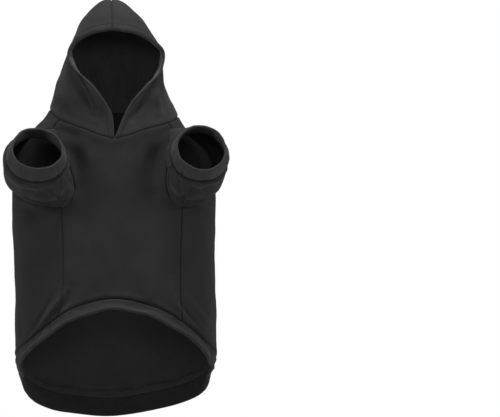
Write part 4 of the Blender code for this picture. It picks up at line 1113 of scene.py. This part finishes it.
def cloth_piece(name, outer, inner, middle, materials, closed_round):
    """One closed wall of cloth between two grids of points, outside and inside each in its own material,
    some of these with painted light or shade in their colour.
    """
    rows, columns = outer.shape[:2]
    points = np.concatenate([outer.reshape(-1, 3), inner.reshape(-1, 3)])
    number = np.arange(rows * columns).reshape(rows, columns)
    if closed_round:
        number = np.concatenate([number, number[:, :1]], axis=1)
    under = number + rows * columns
    a, b, c, d = number[:-1, :-1], number[:-1, 1:], number[1:, 1:], number[1:, :-1]
    outside = np.stack([a, b, c, d], axis=-1).reshape(-1, 4)
    a, b, c, d = under[:-1, :-1], under[1:, :-1], under[1:, 1:], under[:-1, 1:]
    inside = np.stack([a, b, c, d], axis=-1).reshape(-1, 4)
    rims = [np.stack([number[0, :-1], under[0, :-1], under[0, 1:], number[0, 1:]], axis=-1)]
    rims.append(np.stack([number[-1, :-1], number[-1, 1:], under[-1, 1:], under[-1, :-1]], axis=-1))
    if not closed_round:
        rims.append(np.stack([number[:-1, 0], number[1:, 0], under[1:, 0], under[:-1, 0]], axis=-1))
        rims.append(np.stack([number[:-1, -1], under[:-1, -1], under[1:, -1], number[1:, -1]], axis=-1))
    rims = np.concatenate(rims)
    faces = np.concatenate([outside, inside, rims])
    kinds = [0] * len(outside) + [1] * len(inside) + [0] * len(rims)
    one, two, three, four = ((points - outer.mean(axis=(0, 1)))[faces[:, k]] for k in range(4))
    volume = np.sum(one * np.cross(two, three)) + np.sum(one * np.cross(three, four))
    if volume < 0:
        faces = faces[:, ::-1]
    lines = np.stack([run_lengths(middle, 1), run_lengths(middle, 0)], axis=-1).reshape(-1, 2)
    return mesh_piece(name, points, faces.tolist(), kinds, materials, np.concatenate([lines, lines]))


def cloth_area(middle, closed_round):
    """Flat size of a piece's cut: its widest row, its longest column and its area."""
    grid = np.concatenate([middle, middle[:, :1]], axis=1) if closed_round else middle
    a, b, c, d = grid[:-1, :-1], grid[:-1, 1:], grid[1:, 1:], grid[1:, :-1]
    area = np.linalg.norm(np.cross(b - a, c - a), axis=-1).sum() / 2.0
    area += np.linalg.norm(np.cross(c - a, d - a), axis=-1).sum() / 2.0
    return run_lengths(grid, 1)[:, -1].max(), run_lengths(grid, 0)[-1].max(), area


def even_line(points, step):
    """The same line with points at even distances, and how many steps fit."""
    lengths = run_lengths(points, 0)
    count = max(int(round(lengths[-1] / step)), 2)
    wanted = np.linspace(0.0, lengths[-1], count + 1)
    return np.stack([np.interp(wanted, lengths, points[:, k]) for k in range(3)], axis=-1)


def tube_faces(rings, sides, first=0, closed_round=False):
    """Faces of a tube whose points lie ring by ring, with end caps unless its last ring joins its first."""
    faces = []
    for ring in range(rings if closed_round else rings - 1):
        here = first + ring * sides
        there = first + (ring + 1) % rings * sides
        for k in range(sides):
            after = (k + 1) % sides
            faces.append((here + k, here + after, there + after, there + k))
    if not closed_round:
        last = first + (rings - 1) * sides
        faces.append(tuple(range(first, first + sides))[::-1])
        faces.append(tuple(range(last, last + sides)))
    return faces


def allowance(name, line, inward, across, cloth, closed_round=False, lift=ALLOWANCE_LIFT,
              size=ALLOWANCE_WAVE):
    """A strip over a seam's inner side, its free edge wavy and a little raised."""
    if closed_round:
        line = np.concatenate([line, line[:1]])
        inward = np.concatenate([inward, inward[:1]])
        across = np.concatenate([across, across[:1]])
    along = run_lengths(line, 0)
    places = np.linspace(0.0, along[-1], max(int(along[-1] / ALLOWANCE_STEP), 8))

    def at(values):
        return np.stack([np.interp(places, along, values[:, k]) for k in range(3)], axis=-1)

    line, inward, across = at(line), unit(at(inward)), unit(at(across))
    wave = size * ripples(line, ALLOWANCE_WAVE_LENGTH, len(name))
    edge = size * ripples(line, ALLOWANCE_EDGE_LENGTH, len(name) + 7)
    rings = []
    for back, out, up in ALLOWANCE_OUTLINE:
        sideways = back * ALLOWANCE_OVER + out * (ALLOWANCE + edge)
        raised = up * ALLOWANCE_THICK + out**2 * (lift + wave)
        rings.append(line + across * sideways[:, None] + inward * raised[:, None])
    grid = np.stack(rings, axis=1)
    if closed_round:
        grid = grid[:-1]
    faces = tube_faces(*grid.shape[:2], closed_round=closed_round)
    piece = mesh_piece(name, grid.reshape(-1, 3), faces, [0] * len(faces), [cloth])
    work = bmesh.new()
    work.from_mesh(piece.data)
    bmesh.ops.recalc_face_normals(work, faces=work.faces)
    work.to_mesh(piece.data)
    work.free()
    return piece


def stitches(name, line, facing, length, gap, radius, material):
    """Separate thread stitches along a line, each a small arched tube sunk at its ends."""
    places = even_line(line, length + gap)
    ways = np.stack([np.interp(np.linspace(0, 1, len(places)), np.linspace(0, 1, len(facing)), facing[:, k])
                     for k in range(3)], axis=-1)
    points = []
    faces = []
    share = length / (length + gap)
    for start, end, up in zip(places[:-1], places[1:], unit(ways[:-1])):
        along = unit(end - start)
        across = unit(np.cross(along, up))
        first = len(points)
        for ring in range(STITCH_RINGS):
            t = ring / (STITCH_RINGS - 1)
            middle = start + (end - start) * share * t
            middle = middle + up * (radius * 1.3 * math.sin(math.pi * t) - radius * 0.9)
            wide = radius * (0.35 + 0.65 * math.sin(math.pi * (0.12 + 0.76 * t)))
            for k in range(STITCH_SIDES):
                swing = 2 * math.pi * k / STITCH_SIDES
                points.append(middle + across * wide * math.cos(swing) + up * wide * math.sin(swing))
        faces.extend(tube_faces(STITCH_RINGS, STITCH_SIDES, first))
    return mesh_piece(name, np.array(points), faces, [0] * len(faces), [material])


# Materials

CLOUD_SCALE = 22.0
FIBRE_SCALE = 950.0
HEATHER_SCALE = 420.0


def set_inputs(node, **values):
    """Sets a node's inputs by name, an underscore standing for a space."""
    for name, value in values.items():
        node.inputs[name.replace("_", " ")].default_value = value
    return node


def cloth_material(name, colour, grain, fuzz, rib, sheen):
    """Knit cloth: a mottled colour, loops in rows along the cloth, loose fibres and an uneven finish."""
    material = bpy.data.materials.new(name)
    material.use_nodes = True
    nodes = material.node_tree.nodes
    link = material.node_tree.links.new
    shader = nodes["Principled BSDF"]
    set_inputs(shader, Metallic=0.0, Specular_IOR_Level=0.05)
    set_inputs(shader, Sheen_Weight=sheen, Sheen_Roughness=0.55, Sheen_Tint=(0.60, 0.60, 0.62, 1.0))
    place = nodes.new("ShaderNodeTexCoord")

    def noise(scale, detail, rough):
        node = set_inputs(nodes.new("ShaderNodeTexNoise"), Scale=scale, Detail=detail, Roughness=rough)
        link(place.outputs["Object"], node.inputs["Vector"])
        return node.outputs["Fac"]

    def ranged(source, low, high, start=0.3, end=0.7):
        node = nodes.new("ShaderNodeMapRange")
        set_inputs(node, From_Min=start, From_Max=end, To_Min=low, To_Max=high)
        link(source, node.inputs["Value"])
        return node.outputs["Result"]

    def math_node(kind, one, two):
        node = nodes.new("ShaderNodeMath")
        node.operation = kind
        for socket, value in zip(node.inputs, (one, two)):
            if isinstance(value, float):
                socket.default_value = value
            else:
                link(value, socket)
        return node.outputs["Value"]

    clouds = noise(CLOUD_SCALE, 3.0, 0.55)
    fibres = noise(FIBRE_SCALE, 2.0, 0.6)
    heather = noise(HEATHER_SCALE, 3.0, 0.7)
    shade = math_node("MULTIPLY", ranged(clouds, 0.90, 1.10), ranged(fibres, 0.86, 1.14))
    shade = math_node("MULTIPLY", shade, ranged(heather, 1.0 - grain, 1.0 + grain))
    mix = nodes.new("ShaderNodeMix")
    mix.data_type = "RGBA"
    mix.inputs["A"].default_value = (*[c * 0.55 for c in colour], 1.0)
    mix.inputs["B"].default_value = (*[c * 1.45 for c in colour], 1.0)
    link(ranged(shade, 0.0, 1.0, 0.5, 1.5), mix.inputs["Factor"])
    link(mix.outputs["Result"], shader.inputs["Base Color"])
    link(ranged(heather, 0.84, 0.98), shader.inputs["Roughness"])

    loops = nodes.new("ShaderNodeTexWave")
    loops.wave_type = "BANDS"
    loops.bands_direction = "X"
    set_inputs(loops, Scale=1.0 / (rib * 2 * math.pi) * 2.0, Distortion=1.2, Detail=1.0, Detail_Scale=3.0)
    link(place.outputs["UV"], loops.inputs["Vector"])
    height = math_node("MULTIPLY", loops.outputs["Fac"], 1.0 - fuzz)
    height = math_node("ADD", height, math_node("MULTIPLY", fibres, 0.5 + fuzz))
    height = math_node("ADD", height, math_node("MULTIPLY", heather, 0.6 + fuzz))
    relief = set_inputs(nodes.new("ShaderNodeBump"), Strength=0.55, Distance=0.00035 + 0.0004 * fuzz)
    link(height, relief.inputs["Height"])
    link(relief.outputs["Normal"], shader.inputs["Normal"])
    return material


outside = cloth_material("fleece_outside", (0.0097, 0.0097, 0.0101), 0.10, 0.15, 0.0013, 0.05)
# Painted light: the hood's fleece is the body's fleece made lighter, standing for the light the hood catches
# from above.
hood_outside_painted_light = cloth_material("hood_outside_painted_light", (0.0130, 0.0130, 0.0134), 0.10, 0.15, 0.0013, 0.05)
# Painted light: the hood's brushed inside is far lighter than the body's, standing for light that comes in
# through the face opening.
hood_brushed_painted_light = cloth_material("hood_inside_painted_light", (0.0290, 0.0290, 0.0297), 0.20, 0.90, 0.0020, 0.10)
brushed = cloth_material("fleece_brushed_inside", (0.0115, 0.0115, 0.0119), 0.20, 0.90, 0.0020, 0.06)
# Painted shade: the sleeves' brushed inside is darker than the body's, standing for the shade deep in the
# sleeves.
sleeve_brushed_painted_shade = cloth_material("sleeve_inside_painted_shade", (0.0075, 0.0075, 0.0078), 0.20, 0.90, 0.0020, 0.04)
# Painted highlight: the cuffs' doubled knit is made lighter, standing for the bright sheen on their rims.
knit = cloth_material("cuff_knit_painted_highlight", (0.0136, 0.0136, 0.0140), 0.10, 0.10, 0.0016, 0.07)
# Painted shade: the band is the cuffs' doubled knit made darker, to hold down the light that falls on it.
band_knit = cloth_material("band_knit", (0.0076, 0.0076, 0.0079), 0.10, 0.10, 0.0016, 0.06)
thread = cloth_material("thread", (0.0200, 0.0200, 0.0208), 0.10, 0.30, 0.0006, 0.07)

# Pieces

def keep(node, middle, closed_round):
    """Hides the solid that a sheet of cloth takes the place of; the sheet's flat size is worked out but not
    kept.
    """
    width, length, area = cloth_area(middle, closed_round)
    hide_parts(node)


panels = {}
for edge, name in (("front", "chest_panel"), ("rear", "back_panel")):
    outer, inner, middle = body_sheet(edge)
    panels[edge] = (outer, inner)
    inward = unit(inner - outer)
    piece = cloth_piece(name + "_cloth", outer, inner, middle, [outside, brushed], False)
    if edge == "front":
        for side, here, next_in in (("left", 0, 3), ("right", -1, -4)):
            across = unit(inner[:, next_in] - inner[:, here])
            allowance("flank_seam_" + side, inner[:, here], inward[:, here], across,
                                    brushed)
    else:
        hole = slice(SHOULDER_ROWS, SHOULDER_ROWS + ARMHOLE_ROWS + 1)
        for side, here, next_in in (("right", 0, 3), ("left", -1, -4)):
            across = unit(inner[hole, next_in] - inner[hole, here])
            allowance("armhole_seam_" + side, inner[hole, here], inward[hole, here], across,
                                    brushed)
        for row, next_in, title in ((0, 3, "neck_seam"), (-1, -4, "hem_seam")):
            front_outer, front_inner = panels["front"]
            line = np.concatenate([front_inner[row], inner[row]])
            ways = np.concatenate([unit(front_inner[row] - front_outer[row]), inward[row]])
            across = np.concatenate([front_inner[next_in] - front_inner[row], inner[next_in] - inner[row]])
            allowance(title, line, ways, unit(across), brushed, True)
    keep(name, middle, False)

for side in ("left", "right"):
    outer, inner, middle = hood_half(side)
    piece = cloth_piece("hood_" + side + "_cloth", outer, inner, middle, [hood_outside_painted_light, hood_brushed_painted_light], False)
    stitch_column = int(np.argmin(np.abs(hood_places() - HOOD_HEM * STITCH_PLACE)))
    out_line = outer[4:-2, stitch_column]
    in_line = inner[4:-2, stitch_column]
    way = unit(out_line - in_line)
    extras = [
        stitches("hood_" + side + "_stitches", out_line, way, material=thread, **OUTER_STITCH),
        stitches("hood_" + side + "_inner_stitches", in_line, -way, material=thread, **INNER_STITCH),
    ]
    if side == "right":
        line = np.concatenate([inner[3:, -1], inner[-1, -2:hood_places().size:-1]])
        skin = np.concatenate([outer[3:, -1], outer[-1, -2:hood_places().size:-1]])
        sideways = np.broadcast_to(np.array([1.0, 0.0, 0.0]), line.shape)
        extras.append(allowance("hood_middle_seam", line, unit(line - skin), sideways,
                                hood_brushed_painted_light, False, HOOD_ALLOWANCE_LIFT, HOOD_ALLOWANCE_WAVE))
    keep("hood_" + side, middle, False)
    outer, inner, middle = sleeve(side)
    piece = cloth_piece("sleeve_" + side + "_cloth", outer, inner, middle, [outside, sleeve_brushed_painted_shade], True)
    inward = unit(inner[-1] - outer[-1])
    across = unit(inner[-4] - inner[-1])
    turned = allowance("cuff_seam_" + side, inner[-1], inward, across, sleeve_brushed_painted_shade, True)
    keep("sleeve_" + side, middle, True)
    outer, inner, middle = cuff(side)
    piece = cloth_piece("cuff_" + side + "_knit", outer, inner, middle, [knit, knit], True)
    keep("cuff_" + side, middle, True)

outer, inner, middle = hem_band()
piece = cloth_piece("hem_band_knit", outer, inner, middle, [band_knit, band_knit], True)
keep("hem_band", middle, True)

# Floor, light and camera

FLOOR_HEIGHT = -0.470
FLOOR_RADIUS = 1.30
FLOOR_SIDES = 96
WHITE = (1.0, 1.0, 1.0, 1.0)
ROOM_LIGHT = 0.28  # the strength of the light that the white room gives


def pale_floor():
    """A round floor that fades out towards its edge."""
    points = [(0.0, 0.0, FLOOR_HEIGHT)]
    for k in range(FLOOR_SIDES):
        swing = 2 * math.pi * k / FLOOR_SIDES
        points.append((FLOOR_RADIUS * math.cos(swing), FLOOR_RADIUS * math.sin(swing), FLOOR_HEIGHT))
    data = bpy.data.meshes.new("floor")
    data.from_pydata(points, [], [(0, k + 1, (k + 1) % FLOOR_SIDES + 1) for k in range(FLOOR_SIDES)])
    floor = bpy.data.objects.new("floor", data)
    bpy.context.scene.collection.objects.link(floor)
    material = bpy.data.materials.new("pale_floor")
    material.use_nodes = True
    nodes = material.node_tree.nodes
    link = material.node_tree.links.new
    shader = nodes["Principled BSDF"]
    set_inputs(shader, Base_Color=(0.86, 0.86, 0.86, 1.0), Roughness=0.9, Specular_IOR_Level=0.1)
    place = nodes.new("ShaderNodeTexCoord")
    away = nodes.new("ShaderNodeVectorMath")
    away.operation = "LENGTH"
    flat = nodes.new("ShaderNodeVectorMath")
    flat.operation = "MULTIPLY"
    flat.inputs[1].default_value = (1.0, 1.0, 0.0)
    link(place.outputs["Object"], flat.inputs[0])
    link(flat.outputs["Vector"], away.inputs[0])
    fade = nodes.new("ShaderNodeMapRange")
    fade.interpolation_type = "SMOOTHSTEP"
    set_inputs(fade, From_Min=FLOOR_RADIUS * 0.35, From_Max=FLOOR_RADIUS * 0.98, To_Min=1.0, To_Max=0.0)
    link(away.outputs["Value"], fade.inputs["Value"])
    link(fade.outputs["Result"], shader.inputs["Alpha"])
    data.materials.append(material)


def area_light(name, place, aim, size, power):
    """A round lamp at a place, turned towards a point."""
    data = bpy.data.lights.new(name, "AREA")
    data.shape = "DISK"
    data.size = size
    data.energy = power
    lamp = bpy.data.objects.new(name, data)
    lamp.location = place
    way = np.array(place) - np.array(aim)
    flat = math.hypot(way[0], way[1])
    lamp.rotation_euler = (math.atan2(flat, way[2]), 0.0, math.atan2(way[0], -way[1]))
    bpy.context.scene.collection.objects.link(lamp)


pale_floor()
area_light("top", (0.10, -0.65, 2.10), (0.0, 0.0, 0.05), 0.7, 80.0)
area_light("left", (-2.10, -1.55, 1.10), (0.0, 0.0, -0.05), 0.6, 62.0)
area_light("right", (2.10, -1.55, 1.10), (0.0, 0.0, -0.05), 0.6, 58.0)
area_light("front", (0.10, -3.60, 0.60), (0.0, 0.0, 0.0), 0.8, 34.0)

# The camera sees a white room; the light that the room gives is softer, so that the lamps shape the folds.
world = bpy.data.worlds.new("studio")
world.use_nodes = True
world_nodes = world.node_tree.nodes
world_link = world.node_tree.links.new
room = set_inputs(world_nodes["Background"], Color=WHITE, Strength=ROOM_LIGHT)
seen = set_inputs(world_nodes.new("ShaderNodeBackground"), Color=WHITE, Strength=1.0)
ray = world_nodes.new("ShaderNodeLightPath")
either = world_nodes.new("ShaderNodeMixShader")
world_link(ray.outputs["Is Camera Ray"], either.inputs["Fac"])
world_link(room.outputs["Background"], either.inputs[1])
world_link(seen.outputs["Background"], either.inputs[2])
world_link(either.outputs["Shader"], world_nodes["World Output"].inputs["Surface"])
bpy.context.scene.world = world
bpy.context.scene.view_settings.view_transform = "Standard"
bpy.context.scene.view_settings.look = "None"

# The picture is 500 by 417 pixels. One pixel is 1.338 mm at the middle of the body. The body's middle stands
# at column 114.5 and the neck's level at row 124.
IMAGE_WIDTH = 500
IMAGE_HEIGHT = 417
PIXEL = 0.001338
MIDDLE_COLUMN = 114.5
NECK_ROW = 124.0
CAMERA_DISTANCE = 10.0
lens = bpy.data.cameras.new("camera")
lens.sensor_width = 36.0
lens.lens = lens.sensor_width * CAMERA_DISTANCE / (IMAGE_WIDTH * PIXEL)
lens.shift_x = (IMAGE_WIDTH / 2.0 - MIDDLE_COLUMN) / IMAGE_WIDTH
lens.clip_end = 100.0
camera = bpy.data.objects.new("camera", lens)
camera.location = (0.0, -CAMERA_DISTANCE, (NECK_ROW - IMAGE_HEIGHT / 2.0) * PIXEL)
camera.rotation_euler = (math.pi / 2.0, 0.0, 0.0)
bpy.context.scene.collection.objects.link(camera)
bpy.context.scene.camera = camera
